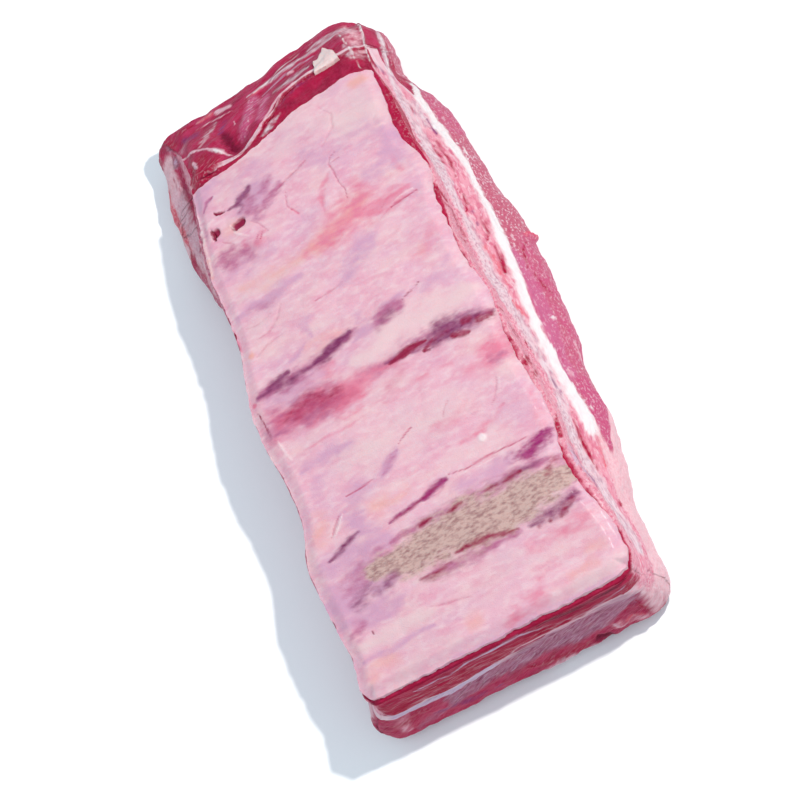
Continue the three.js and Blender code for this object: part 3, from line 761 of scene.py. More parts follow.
CUT_MARKS: Marks = {
    Tint.PALE: (
        # the near end's fat
        Band(((56, 31), (170, 31)), ((56, -5), (170, -5)), 1, 3),
        Band(((-68, 28.6), (-50, 28.6), (-36, 28.2), (-26, 27.4)), ((-68, 25.6), (-26, 25.8)), 0.85, 1.8),
        Stroke(((56, 32), (59, 20), (55, 10)), 15, 0.9, 0.8, 0.6, N),
        Stroke(((-128, 47), (-140, 48), (-152, 46)), 15, 0.6),
        Stroke(((-140, -57), (-126, -58), (-112, -57)), 9, 0.9),
        Band(((-150, 28), (-92, 28)), ((-150, 8), (-92, 8)), 0.9, 3, 0, L),
        Band(((-92, 31), (60, 30), (150, 30)), ((-92, 22), (60, 21), (150, 20)), 0.8, 2, 0, L),
    ),
    Tint.GRANULAR: (
        Band(((-125, 54), (160, 54)), ((-125, 27.6), (-60, 25), (0, 26), (60, 26), (90, 25),
                                       (160, 25)), 1, 1.2),
        Band(((-150, 54), (160, 54)), ((-150, 31), (160, 31)), 1, 2, 0, L),
        Stroke(((-58, 57), (-40, 55), (-4, 55), (10, 56), (60, 57), (98, 56), (140, 62)), 12, 1, 0.5),
        Stroke(((-104, -53), (-62, -60), (0, -63), (60, -65), (100, -69), (146, -68)), 9, 1, 0.5),
        Stroke(((36, 14), (42, 12), (48, 9)), 9, 0.7, 1, 0.6, N),
        Stroke(((-60, 25), (-64, 14)), 9, 0.6, 1, 0.4, N),
    ),
    Tint.DUSTY: (
        Band(((-170, 23), (-141, 23.4), (-124, 22), (-118, 16.5), (-108, 22.4), (-103, 24), (-92, 24.3),
              (-82, 23.5),
              (-62, 23.6), (-42, 24), (-32, 24.3), (-16, 25.2), (-6, 25.8), (4, 26.6), (13, 27),
              (23, 27), (33, 26.7),
              (43, 26.1), (66, 25.8), (74, 24.9), (83, 23.8), (96, 21.5)),
             ((-170, -5), (56, -5), (66, 9), (73, 14.6), (78, 17), (86, 20.2), (96, 21.4)), 1, 0.7),
        Band(((-90, 22), (150, 20)), ((-90, -5), (150, -5)), 0.7, 3, 0, L),
    ),
    Tint.MAUVE: (
        Band(((-44, 25), (-20, 27.4), (-8, 30.6), (2, 34), (18, 34.6), (30, 34.2), (46, 34.4), (54, 31)),
             ((-44, 14), (-28, 16.8), (-10, 18.5), (6, 19), (20, 15), (30, 16), (40, 21),
              (54, 25)), 0.9, 6, 0, N),
        Stroke(((-60, 9), (-46, 14), (-34, 16)), 9, 0.5, 1, 0, N),
    ),
    Tint.MAGENTA: (
        Band(((-14, 25.4), (4, 26.6), (23, 27), (43, 26.2), (60, 25.8)),
             ((-14, 24.6), (0, 23.4), (10, 22.8), (30, 22.4), (40, 22.4), (60, 22)), 0.95, 1.2),
    ),
    Tint.SILVER: (
        Band(((-153, 23), (-134, 26.6), (-119, 30), (-105, 33.6), (-95, 34.2), (-86, 33.2), (-78, 33),
              (-63, 38.6),
              (-54, 37.6), (-45, 34.6), (-39, 33.6), (-31, 33), (-17, 33.8), (-5, 34.4), (6, 37),
              (16, 35), (26, 33.4),
              (36, 32.4), (46, 31.6), (57, 31.8), (67, 34), (78, 37), (87, 34.6), (97, 33.6), (107, 35),
              (117, 37),
              (128, 34), (141, 32)),
             ((-153, 20), (-134, 23.6), (-122, 26.2), (-111, 29), (-104, 29.8), (-92, 31), (-85, 30),
              (-77, 29.2),
              (-66, 30.6), (-55, 31.6), (-47, 31), (-37, 30.5), (-30, 30.4), (-17, 30.8), (-4, 30.8),
              (6, 32),
              (17, 31), (27, 29.6), (37, 29.3), (47, 28.6), (57, 29.2), (67, 30), (73, 31.4), (87, 30),
              (97, 28.4),
              (107, 28.2), (117, 27.6), (128, 27), (141, 28.4)), 0.9, 1.8),
        Band(((-104, 30.4), (-92, 30.6), (-83, 29)), ((-104, 27.2), (-92, 26.8), (-83, 27)), 0.8, 1.2),
        Band(((-110, 38), (-40, 37), (40, 38), (140, 36)), ((-110, 33), (-40, 32), (40, 33),
                                                            (140, 31.6)), 0.8, 1, 0, L),
        Stroke(((-146.9, -12), (-148.6, -1), (-148, 9.6), (-149.9, 19), (-149.6, 30),
                (-151, 42)), 4.2, 0.85, 0.9, 0.3),
        Stroke(((-137, 2), (-138, 14), (-139, 22)), 7, 0.6),
        Stroke(((-152.5, 24), (-153, 35), (-153, 46)), 5, 0.7),
        Stroke(((-116, -10), (-119, -4), (-122, 2)), 5.5, 0.7),
        Stroke(((-131, -42), (-138, -36), (-143, -31)), 7, 0.55),
        Stroke(((-139, -56), (-142, -48)), 6, 0.35),
        Stroke(((-127, 44), (-140, 42)), 5, 0.6),
        Stroke(((-50, 22), (0, 26), (50, 22)), 9, 0.6, 1, 0.2, F),
    ),
    Tint.LAVENDER: (
        Stroke(((50, 41), (37, 37.8), (28, 37), (18.6, 40), (11.3, 42.2), (3, 45), (-10, 44.4), (-20, 44.6),
                (-30, 42), (-41, 44), (-46, 43)), 1.7, 0.85, 0.8, 0.15, N),
        Stroke(((-45, 42), (-28, 40.6), (-12, 42.4)), 2.8, 0.6, 1, 0, N),
        Band(((-66, 34.2), (-58, 34.6), (-52, 30.4), (-43, 29.4), (-36, 30), (-25, 31), (-8, 32.6)),
             ((-66, 29), (-58, 27), (-50, 26), (-42, 25.6), (-31, 26), (-20, 28),
              (-8, 31)), 0.95, 1, 0.3, N),
        Band(((86, 46), (98, 48), (110, 46)), ((86, 38), (98, 35), (110, 38)), 0.7, 3),
        Stroke(((-142, -4), (-145, 10), (-146, 26)), 3, 0.5),
    ),
    Tint.CORAL: (
        Stroke(((-16.7, 30.5), (-4.4, 30.1), (1.2, 30.4), (9.6, 31.4)), 1.5, 0.8, 0.9, 0, R),
        Stroke(((13.4, 31.6), (18.7, 30.2), (24, 29.4)), 1.8, 0.9, 0.9, 0, R),
        Stroke(((92.5, 25.7), (99, 25.1)), 1.6, 1, 0.8, 0, R),
        Stroke(((82, 25.4), (89.7, 25.1), (93, 25.6)), 1.8, 0.6, 1, 0, R),
        Stroke(((-65.4, 50), (-64, 45), (-62.6, 40)), 4, 0.8, 1, 0, R),
        Stroke(((-17.6, 18.6), (-16.5, 15), (-16.3, 12)), 4.6, 0.95, 0.7, 2.2, R),
        Stroke(((-151, -41), (-150.8, -31)), 5, 0.9, 0.9, 0.4),
        Stroke(((-145, -12), (-147.5, -4)), 3, 0.5),
        Band(((-138, 18.6), (-124, 21.2), (-114, 22.6), (-105, 24.4), (-94, 25)),
             ((-138, 16.6), (-127, 16), (-118, 15.6), (-107, 19), (-94, 22.6)), 1, 1.2, 0.5, L),
        Stroke(((-132, 33), (-126, 38)), 4, 0.7, 1, 0, L),
        Stroke(((36, 13), (44, 16), (49, 12)), 5, 0.5, 1, 0.6, N),
    ),
    Tint.ROSE: (
        Band(((52, 22.4), (62, 24), (68, 24.6), (74, 24.6), (88, 22.9), (94, 22)),
             ((52, 17), (58, 16), (73, 14.6), (78, 17), (86, 20.2), (94, 21.6)), 0.95, 1),
        Band(((-20, 22), (0, 23.6), (20, 22.6), (56, 22)), ((-20, -5), (56, -5)), 0.6, 3),
        Band(((-119, 20), (-95, 24), (-76, 23)), ((-119, -5), (-76, -5)), 0.5, 3),
        Stroke(((29, 26.6), (35, 26.3)), 1.2, 0.9, 0.9, 0, R),
        Stroke(((41.8, 25.2), (47.7, 24.4)), 1.8, 0.8, 0.9, 0, R),
        Stroke(((57, 24.8), (65, 24.6)), 2, 0.85, 0.9, 0, R),
        Stroke(((-125, -18), (-133, -14), (-142, -9)), 13, 0.95, 0.8, 0.5),
        Stroke(((-127, -8), (-137, -3)), 9, 0.9, 0.8, 0.3),
        Stroke(((-140, -56), (-138, -50)), 6, 0.4),
        Stroke(((-130, 4), (-134, 12)), 6, 0.4),
    ),
    Tint.BRIGHT: (
        Band(((-66, 41.4), (-45, 41.6), (-20, 42.6), (0, 42.8), (12, 40.6), (26, 37)),
             ((-66, 34.4), (-50, 31), (-30, 31), (-10, 33.4), (2, 37), (26, 36)), 1, 1.2, 0.5, N),
        Band(((8, 44.6), (24, 40), (34, 37.4), (44, 40), (58, 42)),
             ((8, 39), (24, 35.6), (34, 35.6), (44, 37), (58, 34)), 0.8, 1.4, 0, N),
        Stroke(((-66, 20), (-50, 22)), 9, 0.8, 1, 0.3, N),
        Stroke(((-4, 14), (12, 9), (27, 11)), 8, 0.85, 1, 0.3, N),
        Stroke(((50, 24), (49.8, 18.8), (51, 14.5), (50, 10.6)), 2.2, 0.9, 0.8, -0.3, N),
        Stroke(((-150, 20), (-141, 21), (-130, 21.6), (-121, 23), (-115, 24.6)), 3, 0.85, 0.9, 0, R),
        Stroke(((-118, 25), (-114.5, 25.4)), 2.6, 0.9, 0.8, 0, R),
        Stroke(((-109, 31.7), (-102, 30.4), (-95, 30.2)), 1, 0.6, 1, 0, R),
        Stroke(((-74.4, 28.8), (-69, 29.6), (-63.2, 30.8)), 1.1, 0.9, 0.8, -0.2, R),
        Stroke(((-78, 27.2), (-69, 28.1), (-59.4, 29.3), (-54, 29.7)), 1.3, 0.75, 0.9, -0.2, R),
        Stroke(((-49, 30.8), (-46.8, 29.9), (-43.6, 29.3), (-40.8, 29.3), (-36.6, 29.3), (-35.9, 30.4)),
               1.3, 1, 0.8, -0.3, R),
        Stroke(((-31.4, 27.9), (-25.4, 28.3), (-20.5, 28.7), (-18.8, 29.2)), 1.3, 0.9, 0.8, -0.2, R),
        Stroke(((-15.3, 28.6), (-9.3, 28.8), (-3.4, 29.1), (1.9, 29.6)), 1.6, 0.8, 0.8, -0.2, R),
        Stroke(((26.6, 29.6), (28, 29.6)), 1, 0.8, 0.9, 0, R),
        Stroke(((32, 33.2), (37, 32.9), (40.4, 32)), 1, 0.7, 0.9, -0.2, R),
        Stroke(((71.5, 30.4), (77, 30.6), (83, 30.1), (92, 28.7), (99, 27.9)), 1.5, 0.85, 0.8, -0.2, R),
        Stroke(((113.5, 25.7), (114.8, 25.4)), 2.2, 0.9, 0.8, 0, R),
        Stroke(((126.5, 34), (132, 39), (134.2, 36.5)), 3, 0.6, 0.9, 0, R),
        Stroke(((-33.1, 24.2), (-32.4, 22.4), (-33.5, 17)), 1.1, 0.65, 1, -0.3, R),
        Stroke(((-14, 19.6), (-11.8, 21.2), (-7.9, 22.4), (-4.1, 23), (0, 23.6)), 1.3, 0.85, 0.9, -0.2, R),
        Stroke(((3, 22.8), (8.2, 21.9), (12.4, 21.2), (15.6, 19.4)), 1.2, 0.85, 0.9, -0.2, R),
        Band(((-116, 50.6), (-84, 50.4), (-62, 50)), ((-116, 40), (-104, 38), (-98, 35.6), (-89, 34.6),
                                                      (-80, 35),
              (-72, 38), (-62, 47)), 0.95, 1.6, 0, R),
        Stroke(((-104, 52.5), (-86, 51.5), (-66, 52)), 6, 0.9),
        Stroke(((-44, 49), (-41.6, 45), (-40, 40)), 5, 1, 0.7, -0.3, R),
        Stroke(((-45, 53.6), (-39, 53)), 4.4, 0.95, 0.8),
        Stroke(((-37, 47), (-36, 41)), 3.4, 0.8, 0.8, 0, R),
        Stroke(((-23.4, 52.4), (-22.6, 52.2)), 3, 0.7),
        Stroke(((-20, 41), (-19, 37)), 3, 0.6, 0.9, 0, R),
        Stroke(((19.4, 46), (19.8, 41)), 4, 0.65, 1, 0, R),
        Stroke(((43, 37), (46, 43), (49.5, 49)), 4.4, 1, 0.7, -0.3, R),
        Stroke(((45, 55.4), (49.5, 54.4)), 4.4, 1, 0.7),
        Stroke(((52.6, 42), (55, 46), (56, 49)), 3.8, 0.95, 0.7, -0.2, R),
        Stroke(((53, 55.6), (56.5, 55)), 3.6, 0.9, 0.8),
        Stroke(((67.3, 49), (68, 46)), 3, 0.6, 0.9, 0, R),
        Stroke(((75, 46), (79, 50), (84, 49)), 5, 1, 0.7, -0.2, R),
        Stroke(((76, 55.6), (84, 54)), 4.6, 1, 0.8),
        Stroke(((99, 48), (108, 48)), 3.4, 0.5, 1, 0, R),
        Stroke(((-116, -50), (-115.6, -37)), 13, 1, 0.7, 0.4),
        Stroke(((-123, -48), (-122, -41)), 9, 1, 0.8, 0.3),
        Stroke(((-147.9, -57), (-153, -60)), 8, 0.9),
        Stroke(((-151.5, -52), (-151, -44)), 5, 0.8),
        Stroke(((-143, 10), (-144, 20)), 6, 0.85),
        Stroke(((-155.5, 14.6), (-156.1, 19.2)), 4, 0.8),
        Stroke(((-112, -61), (-90, -61)), 6, 0.9),
        Stroke(((-110.5, -50), (-110.5, -38), (-111.6, -33)), 3, 0.9),
        Stroke(((-113, -27), (-117.5, -12.5), (-124, -2), (-130.5, 7), (-132.2, 17), (-133, 27),
                (-134.6, 60)), 4.4, 0.95, 0.6),
        Stroke(((-99.6, 23.6), (-94.7, 20), (-89.5, 15), (-82, 12)), 5, 0.95, 0.8, 0, L),
        Stroke(((-136, 25), (-122, 28), (-110, 30)), 2.4, 0.5, 1, 0, L),
        Stroke(((-104, 46), (-80, 45)), 7, 0.5, 1, 0, L),
        Stroke(((-60, 42), (-44, 41)), 6, 0.6, 1, 0, L),
        Stroke(((6, 42), (24, 43)), 6, 0.5, 1, 0, L),
        Stroke(((96, 42), (110, 41)), 6, 0.5, 1, 0, L),
    ),
    Tint.PURPLE: (
        Stroke(((-40, 46.6), (-20, 47)), 2.2, 0.5, 1, 0, N),
        Stroke(((-50, 15), (-34, 12), (-18, 12)), 6, 0.4, 1, 0, N),
        Stroke(((-90, 27.6), (-86, 26.8), (-80, 26.6)), 1.3, 0.8, 0.9, 0, R),
        Stroke(((-36, 28.4), (-33.8, 28.4)), 1, 0.6, 0.9, 0, R),
        Stroke(((-29, 29.6), (-28, 29.6)), 1.6, 0.7, 0.8, 0, R),
        Stroke(((92, 43), (100, 42), (110, 45)), 9, 0.5, 1, 0, R),
        Stroke(((46.7, 29), (52.6, 29.6), (58, 30.5), (63, 29.9)), 0.9, 0.5, 0.9, 0, R),
        Stroke(((-127, 35), (-120, 31)), 4, 0.35, 1, 0, R),
        Stroke(((-145, -50), (-142, -42)), 7, 0.6),
        Stroke(((-134, -30), (-140, -26)), 6, 0.4),
        Stroke(((-126, 2), (-131, 14), (-132, 30)), 3, 0.3),
    ),
    Tint.DARK: (
        # painted shade: dark colour deepening the shelf's hollow, over its cut-in
        Stroke(((-119, -25.6), (-124.5, -26), (-131, -28)), 9.5, 1, 0.9, -1.2),
        Stroke(((-112, -36), (-112.6, -48)), 2.4, 0.6, 1, -0.4),
        # painted shade in a small pit on the near face, which the stroke also cuts in
        Stroke(((27, 9), (31, 8)), 6, 1, 0.8, -1.2, N),
        Stroke(((12, 45), (27, 43), (40, 43.6), (52, 45)), 4, 0.9, 1, -0.2, N),
        Band(((-60, 49.4), (-20, 49.6), (20, 49), (60, 49.6)), ((-60, 47.4), (-20, 47.8), (20, 46.8),
                                                                (60, 47.2)),
             0.8, 0.8, -0.3, N),
        Stroke(((-139.6, 27), (-139.2, 33), (-140.6, 38)), 1.6, 0.6, 0.9, -0.4),
        Stroke(((-109, 50), (-88, 49.4)), 1.4, 0.5, 1, -0.2, R),
    ),
    Tint.FAT: (
        Stroke(((-112, -37), (-112.8, -31), (-113.5, -26.4), (-115, -21.7), (-116.5, -16.1),
                (-119.5, -10.6),
                (-124.5, -5.5), (-128.5, -0.4), (-132, 5), (-133.5, 11), (-134, 20),
                (-135, 28)), 2.1, 1, 0.7, 0.35),
        Stroke(((-134, -54), (-132.5, -48.4), (-130, -42.9), (-126, -37.5), (-122, -33.6), (-119, -30.6),
                (-117, -29.4), (-115.4, -27.4)), 2.4, 1, 0.8, 0.5),
        Stroke(((-123.6, -34.6), (-119.6, -31)), 4, 0.9, 0.8, 0.4),
        Stroke(((-120, -45.4), (-124.4, -47.4)), 3, 1, 0.8, 0.4),
        Stroke(((-149.7, -28.4), (-148.3, -22)), 5, 1, 0.8, 0.4),
        Stroke(((-146.4, -42), (-145.3, -31.3), (-144.1, -21)), 1.7, 0.8, 0.9, 0.3),
        Stroke(((-128.4, -14), (-131.6, -13.4)), 1.2, 0.7, 0.9, 0.2),
        Stroke(((-133, -22), (-136, -21.4)), 1.2, 0.7, 0.9, 0.2),
        Stroke(((-141, -12), (-143.4, -11)), 1.2, 0.7, 0.9, 0.2),
        Stroke(((-143.7, 12.4), (-143.3, 14.2)), 3.4, 1, 0.6, 0.8),
        Stroke(((3, 6), (14, 4.6)), 8, 1, 0.9, 0.9, N),
        Stroke(((15, 4), (26, 6)), 4, 0.8, 0.9, 0.4, N),
        Stroke(((-13, 31.4), (-5, 33.6), (0, 35.8), (9, 36.4), (18, 35.4), (28, 35), (37, 37), (46, 37),
                (56, 30)),
               1.7, 0.95, 0.8, 0.35, N),
        Stroke(((36, 15), (39, 12)), 2.4, 0.8, 0.9, 0.4, N),
        Stroke(((-42, 48.6), (-30, 46.6)), 1.4, 0.5, 1, 0.1, R),
        Stroke(((38, 18.5), (44, 17), (50, 15)), 2.6, 0.7, 0.9, 0.5, R),
        Stroke(((51, 24.4), (56, 24)), 2, 0.85, 0.9, 0.2, R),
        Band(((-132, 28), (-95, 28), (-86, 26)), ((-132, 21), (-118, 22), (-95, 23.5),
                                                  (-86, 22)), 0.9, 1.2, 0.3, L),
        Band(((-92, 29), (0, 28), (150, 28)), ((-92, 25.5), (0, 25), (150, 25)), 0.95, 1, 0.4, L),
        Stroke(((20, 14), (80, 18), (130, 14)), 5, 0.6, 1, 0.2, L),
    ),
    Tint.WHITE: (
        Band(((-119, 20), (-109, 24.4), (-102, 26.8), (-90, 26.6), (-80, 26.2), (-64, 26), (-53, 25.8),
              (-43, 25.7),
              (-32, 26.2), (-23, 27.2), (-15, 27.6), (-3, 28), (8, 29), (32, 29), (57, 28.7), (67, 29.2),
              (78, 28.7),
              (86, 26.6)),
             ((-119, 16), (-109, 21.5), (-103, 24.2), (-92, 24.2), (-82, 23.4), (-72, 23.1), (-62, 23.5),
              (-42, 23.9),
              (-32, 24.2), (-16, 25.1), (-6, 25.7), (4, 26.5), (13, 26.9), (23, 26.9), (33, 26.6),
              (43, 26), (66, 25.7),
              (74, 24.8), (86, 24)), 1, 0.6, 0.3),
        Stroke(((-152, 21.4), (-134, 25), (-120, 28)), 1.6, 0.7, 0.9, 0.2, R),
        Stroke(((-122.6, -34), (-119.4, -31.4)), 2.6, 0.9, 0.8, 0.3),
        # white streaks on the fat at the far-left corner: the fat's own white, partly a painted highlight
        # where it glistens
        Stroke(((-114, -58), (-120, -55.6), (-128, -56), (-134, -58)), 2.6, 0.8, 1, 0.4),
        Stroke(((-112, 51.7), (-127.5, 50.4), (-143.5, 51.6), (-154, 51.7)), 1.7, 0.95, 0.8, 0.3),
        Stroke(((-120, 46), (-135, 44), (-150, 42)), 1.2, 0.6, 1, 0.2),
        Stroke(((-156, 28), (-152, 12), (-149, 0), (-147, -8)), 1.2, 0.55, 1, 0.2),
        Stroke(((-133.4, 12), (-134, 20), (-134.8, 27)), 1.2, 0.5, 1, 0.1),
        # painted highlights: two small white glints on the wet outer side
        Stroke(((25.8, 23.8), (27.6, 23.2)), 1.4, 0.7, 0.9, 0.3, R),
        Stroke(((70.8, 23.8), (72, 23.4)), 1.5, 0.9, 0.9, 0.3, R),
        Stroke(((-75.5, 22.9), (-71, 22.1), (-66, 22.1), (-62.5, 22.9)), 0.7, 0.7, 0.9, 0.2, R),
        Stroke(((-117, 40), (-106, 38)), 4, 0.7, 1, 0.3, L),
        Stroke(((6, 5.6), (11, 5)), 3.6, 0.7, 1, 0.3, N),
    ),
}


# ------------------------------------------------------------------ closed meshes over the shared block
@dataclass
class Surface:
    """Points of a mesh in the making, with its faces."""

    points: Array
    facing: Array  # which way the surface looks, for choosing marks
    outward: Array  # away from the slab in plan, for the walls and their rims
    upward: Array  # 1 on the upper surface, -1 on the underside and 0 on the walls
    inset: Array  # millimetres up or down a wall from its nearer rim
    faces: Faces

    def push(self, walls: Array, top: Array) -> None:
        """Moves the walls outward and the upper surface up.

        Args:
            walls: Millimetres outward for each point.
            top: Millimetres up for each point.
        """
        lift = np.array([0.0, 0.0, 1.0]) * (top * (self.upward != 0))[:, None]
        self.points = self.points + self.outward * walls[:, None] + lift


class Zone(Enum):
    """A stretch of the upper side, from the far end to the near end."""

    SHELF = "shelf"
    STRIP = "strip"
    WEDGE = "wedge"
    PLATE = "plate"


@dataclass(frozen=True)
class Lattice:
    """The columns and rows that all layers share, so that neighbours meet point to point."""

    rows: int = 168
    shelf: int = 57
    strip: int = 4
    wedge: int = 24
    plate: int = 340
    closer: float = 0.06  # how much closer the plate's columns stand towards the near end
    step: float = 0.12  # length of the hidden step where a layer dips under its neighbour
    rim: int = 4  # cells of hidden surface kept inside the rim

    def row_y(self) -> Array:
        """Gives the rows' places across the block."""
        return np.linspace(-SLAB.half_width, SLAB.half_width, self.rows + 1)

    def columns(self, zone: Zone) -> Array:
        """Gives the columns' places along the block in one zone.

        Args:
            zone: The zone to divide.
        Returns:
            An array of columns by rows.
        """
        y = self.row_y()
        line = curve(SEAM_LINE_X, y)
        edge = line - SLAB.seam_edge
        end = curve(MEMBRANE_END_X, y)
        count, start, stop, closer = {
            Zone.SHELF: (self.shelf, curve(SHOULDER_X, y), edge, 0.0),
            Zone.STRIP: (self.strip, edge, line, 0.0),
            Zone.WEDGE: (self.wedge, line, end, 0.0),
            Zone.PLATE: (self.plate, end, SLAB.near_x, self.closer),
        }[zone]
        t = np.linspace(0, 1, count + 1)[:, None]
        return lerp(start, stop, t + closer * t * (1 - t))


LATTICE = Lattice()


def quads(index: Array) -> Faces:
    """Lists the quads of a grid of point numbers."""
    corners = (index[:-1, :-1], index[1:, :-1], index[1:, 1:], index[:-1, 1:])
    return [tuple(quad) for quad in np.stack([c.ravel() for c in corners], axis=1).tolist()]


def belt(loops: Array) -> Faces:
    """Lists the quads between closed loops of point numbers, one loop a row."""
    return quads(np.concatenate([loops, loops[:, :1]], axis=1))


def rim_of(ni: int, nj: int) -> tuple[Array, Array]:
    """Walks once round the rim of a grid.

    Args:
        ni: Number of cells along the first axis.
        nj: Number of cells along the second axis.
    Returns:
        The rim's places along both axes, in order.
    """
    i_ring = np.concatenate([np.arange(ni), np.full(nj, ni), np.arange(ni, 0, -1), np.zeros(nj, int)])
    j_ring = np.concatenate([np.zeros(ni, int), np.arange(nj), np.full(ni, nj), np.arange(nj, 0, -1)])
    return i_ring, j_ring


def bridged(index: Array) -> Faces:
    """Closes a grid whose inner points nothing shows of, by strips right across it.

    Args:
        index: Point numbers of the grid.
    Returns:
        The faces.
    """
    faces = [tuple(index[0]) + (index[1, -1], index[1, 0])]
    for this, after in zip(index[1:-2], index[2:-1]):
        faces.append((this[0], this[-1], after[-1], after[0]))
    faces.append((index[-2, 0], index[-2, -1]) + tuple(index[-1, ::-1]))
    return [tuple(int(n) for n in face[::-1]) for face in faces]


def rimmed(index: Array, first: int, rim: int) -> Faces:
    """Closes a grid by quads near its rim, and by strips right across where nothing shows.

    Args:
        index: Point numbers of the grid.
        first: Column where the hidden part begins.
        rim: Number of quads kept inside the rim.
    Returns:
        The faces.
    """
    i0, i1, j0, j1 = first + rim, index.shape[0] - 1 - rim, rim, index.shape[1] - 1 - rim
    faces = bridged(index[i0:i1 + 1, j0:j1 + 1])
    for part in (index[:i0 + 1], index[i1:], index[i0:i1 + 1, :j0 + 1], index[i0:i1 + 1, j1:]):
        faces += quads(part)
    return faces


def coarse(index: Array, step: int) -> Faces:
    """Lists larger faces over a grid, which keep every point of its rim.

    Args:
        index: Point numbers of the grid.
        step: Size of a face in cells.
    Returns:
        The faces.
    """
    ni, nj = index.shape[0] - 1, index.shape[1] - 1
    faces = []
    for i in range(0, ni, step):
        for j in range(0, nj, step):
            face = list(index[i:i + step, j] if j == 0 else index[i:i + 1, j])
            face += list(index[i + step, j:j + step] if i + step == ni else index[i + step:i + step + 1, j])
            top = index[i + 1:i + step + 1, j + step][::-1]
            face += list(top if j + step == nj else top[:1])
            side = index[i, j + 1:j + step + 1][::-1]
            face += list(side if i == 0 else side[:1])
            faces.append(tuple(int(n) for n in face))
    return faces


def closed_layer(
        zones: tuple[tuple[Zone, ZFunction], ...], lower: ZFunction, wall_steps: int, seen_zones: int,
        floor_step: int = 0, ledge: float = 1.0, lattice: Lattice = LATTICE) -> Surface:
    """Builds a closed layer: an upper surface over some zones, walls all round and an underside.

    Args:
        zones: The zones from far to near, each with its upper surface.
        lower: The underside's height.
        wall_steps: Number of rows of faces down the walls.
        seen_zones: How many of the zones show, counted from the far end.
        floor_step: Size of the underside's faces in cells, or 0 where nothing shows of it.
        ledge: Share of the ledge beyond the membrane.
        lattice: The columns and rows to use.
    Returns:
        The layer's surface.
    """
    y_row = lattice.row_y()
    columns, heights, seen = [], [], 0
    for order, (zone, upper) in enumerate(zones):
        x = lattice.columns(zone)
        x_seen = x.copy()
        if order and zones[order - 1][1] != upper:
            x[0] += lattice.step
        elif order:
            x, x_seen = x[1:], x_seen[1:]
        columns.append(x)
        heights.append(upper(x_seen, np.broadcast_to(y_row, x.shape)))
        seen += len(x) if order < seen_zones else 0
    x, top = np.concatenate(columns), np.concatenate(heights)
    y = np.broadcast_to(y_row, x.shape)
    bottom = lower(x, y)
    ni, nj = x.shape[0] - 1, x.shape[1] - 1
    i_ring, j_ring = rim_of(ni, nj)
    share = np.linspace(0, 1, wall_steps + 1)[:, None]
    x_ring, y_ring = x[i_ring, j_ring], y[i_ring, j_ring]
    rings = SLAB.place(x_ring, y_ring, lerp(top[i_ring, j_ring], bottom[i_ring, j_ring], share), ledge)
    tall = (top - bottom)[i_ring, j_ring]
    inset = (np.minimum(share, 1 - share) * tall)[1:-1].ravel()
    tangent = np.roll(rings, -3, axis=1) - np.roll(rings, 3, axis=1)
    out = np.stack([tangent[..., 1], -tangent[..., 0], 0 * tangent[..., 0]], axis=-1)
    out /= np.maximum(np.linalg.norm(out, axis=-1, keepdims=True), 1e-9)

    grid = np.arange((ni + 1) * (nj + 1)).reshape(ni + 1, nj + 1)
    up = np.array([0.0, 0.0, 1.0])
    top_outward = np.zeros((grid.size, 3))
    top_outward[grid[i_ring, j_ring]] = out[0]
    wall = grid.size + np.arange((wall_steps - 1) * len(i_ring)).reshape(wall_steps - 1, len(i_ring))
    top_facing = np.tile(up, (grid.size, 1))
    covered = i_ring >= seen  # the rim of a hidden zone belongs to the wall
    top_facing[grid[i_ring, j_ring][covered]] = out[0][covered]
    floor = grid.size + wall.size + grid
    floor_outward = np.zeros((grid.size, 3))
    floor_outward[grid[i_ring, j_ring]] = out[-1]
    at_rim = floor_outward.any(axis=1)
    level = np.zeros(grid.size)
    wall_out = out[1:-1].reshape(-1, 3)

    upper_side = SLAB.place(x, y, top, ledge).reshape(-1, 3)
    underside = SLAB.place(x, y, bottom, ledge).reshape(-1, 3)
    points = [upper_side, rings[1:-1].reshape(-1, 3), underside]
    facing = [top_facing, wall_out, np.where(at_rim[:, None], floor_outward, -up)]
    outward = [top_outward, wall_out, floor_outward]
    upward = [np.ones(grid.size), np.zeros(wall.size), np.where(at_rim, 0.0, -1.0)]
    insets = [level, inset, level]
    faces = belt(np.concatenate([grid[i_ring, j_ring][None], wall, floor[i_ring, j_ring][None]]))
    faces += rimmed(grid, seen, lattice.rim) if seen_zones < len(zones) else quads(grid)
    under = coarse(floor, floor_step) if floor_step else rimmed(floor, 0, lattice.rim)
    faces += [face[::-1] for face in under]

    # Points that no face uses drop out, and the rest are numbered afresh.
    used, flat = np.unique(np.concatenate(faces), return_inverse=True)
    ends = np.cumsum([len(face) for face in faces])
    kept = [tuple(face.tolist()) for face in np.split(flat, ends[:-1])]
    surface = [np.concatenate(parts)[used] for parts in (points, facing, outward, upward, insets)]
    return Surface(*surface, kept)


# ------------------------------------------------------------------ finishes
def linear(hex_colour: str) -> tuple[float, float, float, float]:
    """Turns an sRGB hex colour, as it looks in the studio, into the linear colour of the pigment."""
    channels = [int(hex_colour[i:i + 2], 16) / 255 for i in (1, 3, 5)]
    light = [c / 12.92 if c <= 0.04045 else ((c + 0.055) / 1.055) ** 2.4 for c in channels]
    return (*[c / STUDIO_GAIN for c in light], 1.0)


# Painted highlights: pale specks mixed into a stain's colour, where wet fibres would catch the lamp.
PAINTED_GLINT = "#FDE8EE"
PAINTED_GLINT_SIZE = 0.85  # millimetres
PAINTED_GLINT_LEVELS = (0.53, 0.65)  # of the noise, where a glint starts and where it is full
CLOUD_TOP = 0.7  # level of the noise where a cloud is full
STREAK_LEVELS = (0.42, 0.7)
CLOUD_NOISE = 60  # numbers that keep each pattern on its own part of the noise
PAINTED_GLINT_NOISE = 90
NOISE_STRIDE = 37.0
RED_SCATTER = (1.0, 0.35, 0.3)  # red light goes furthest through flesh and fat


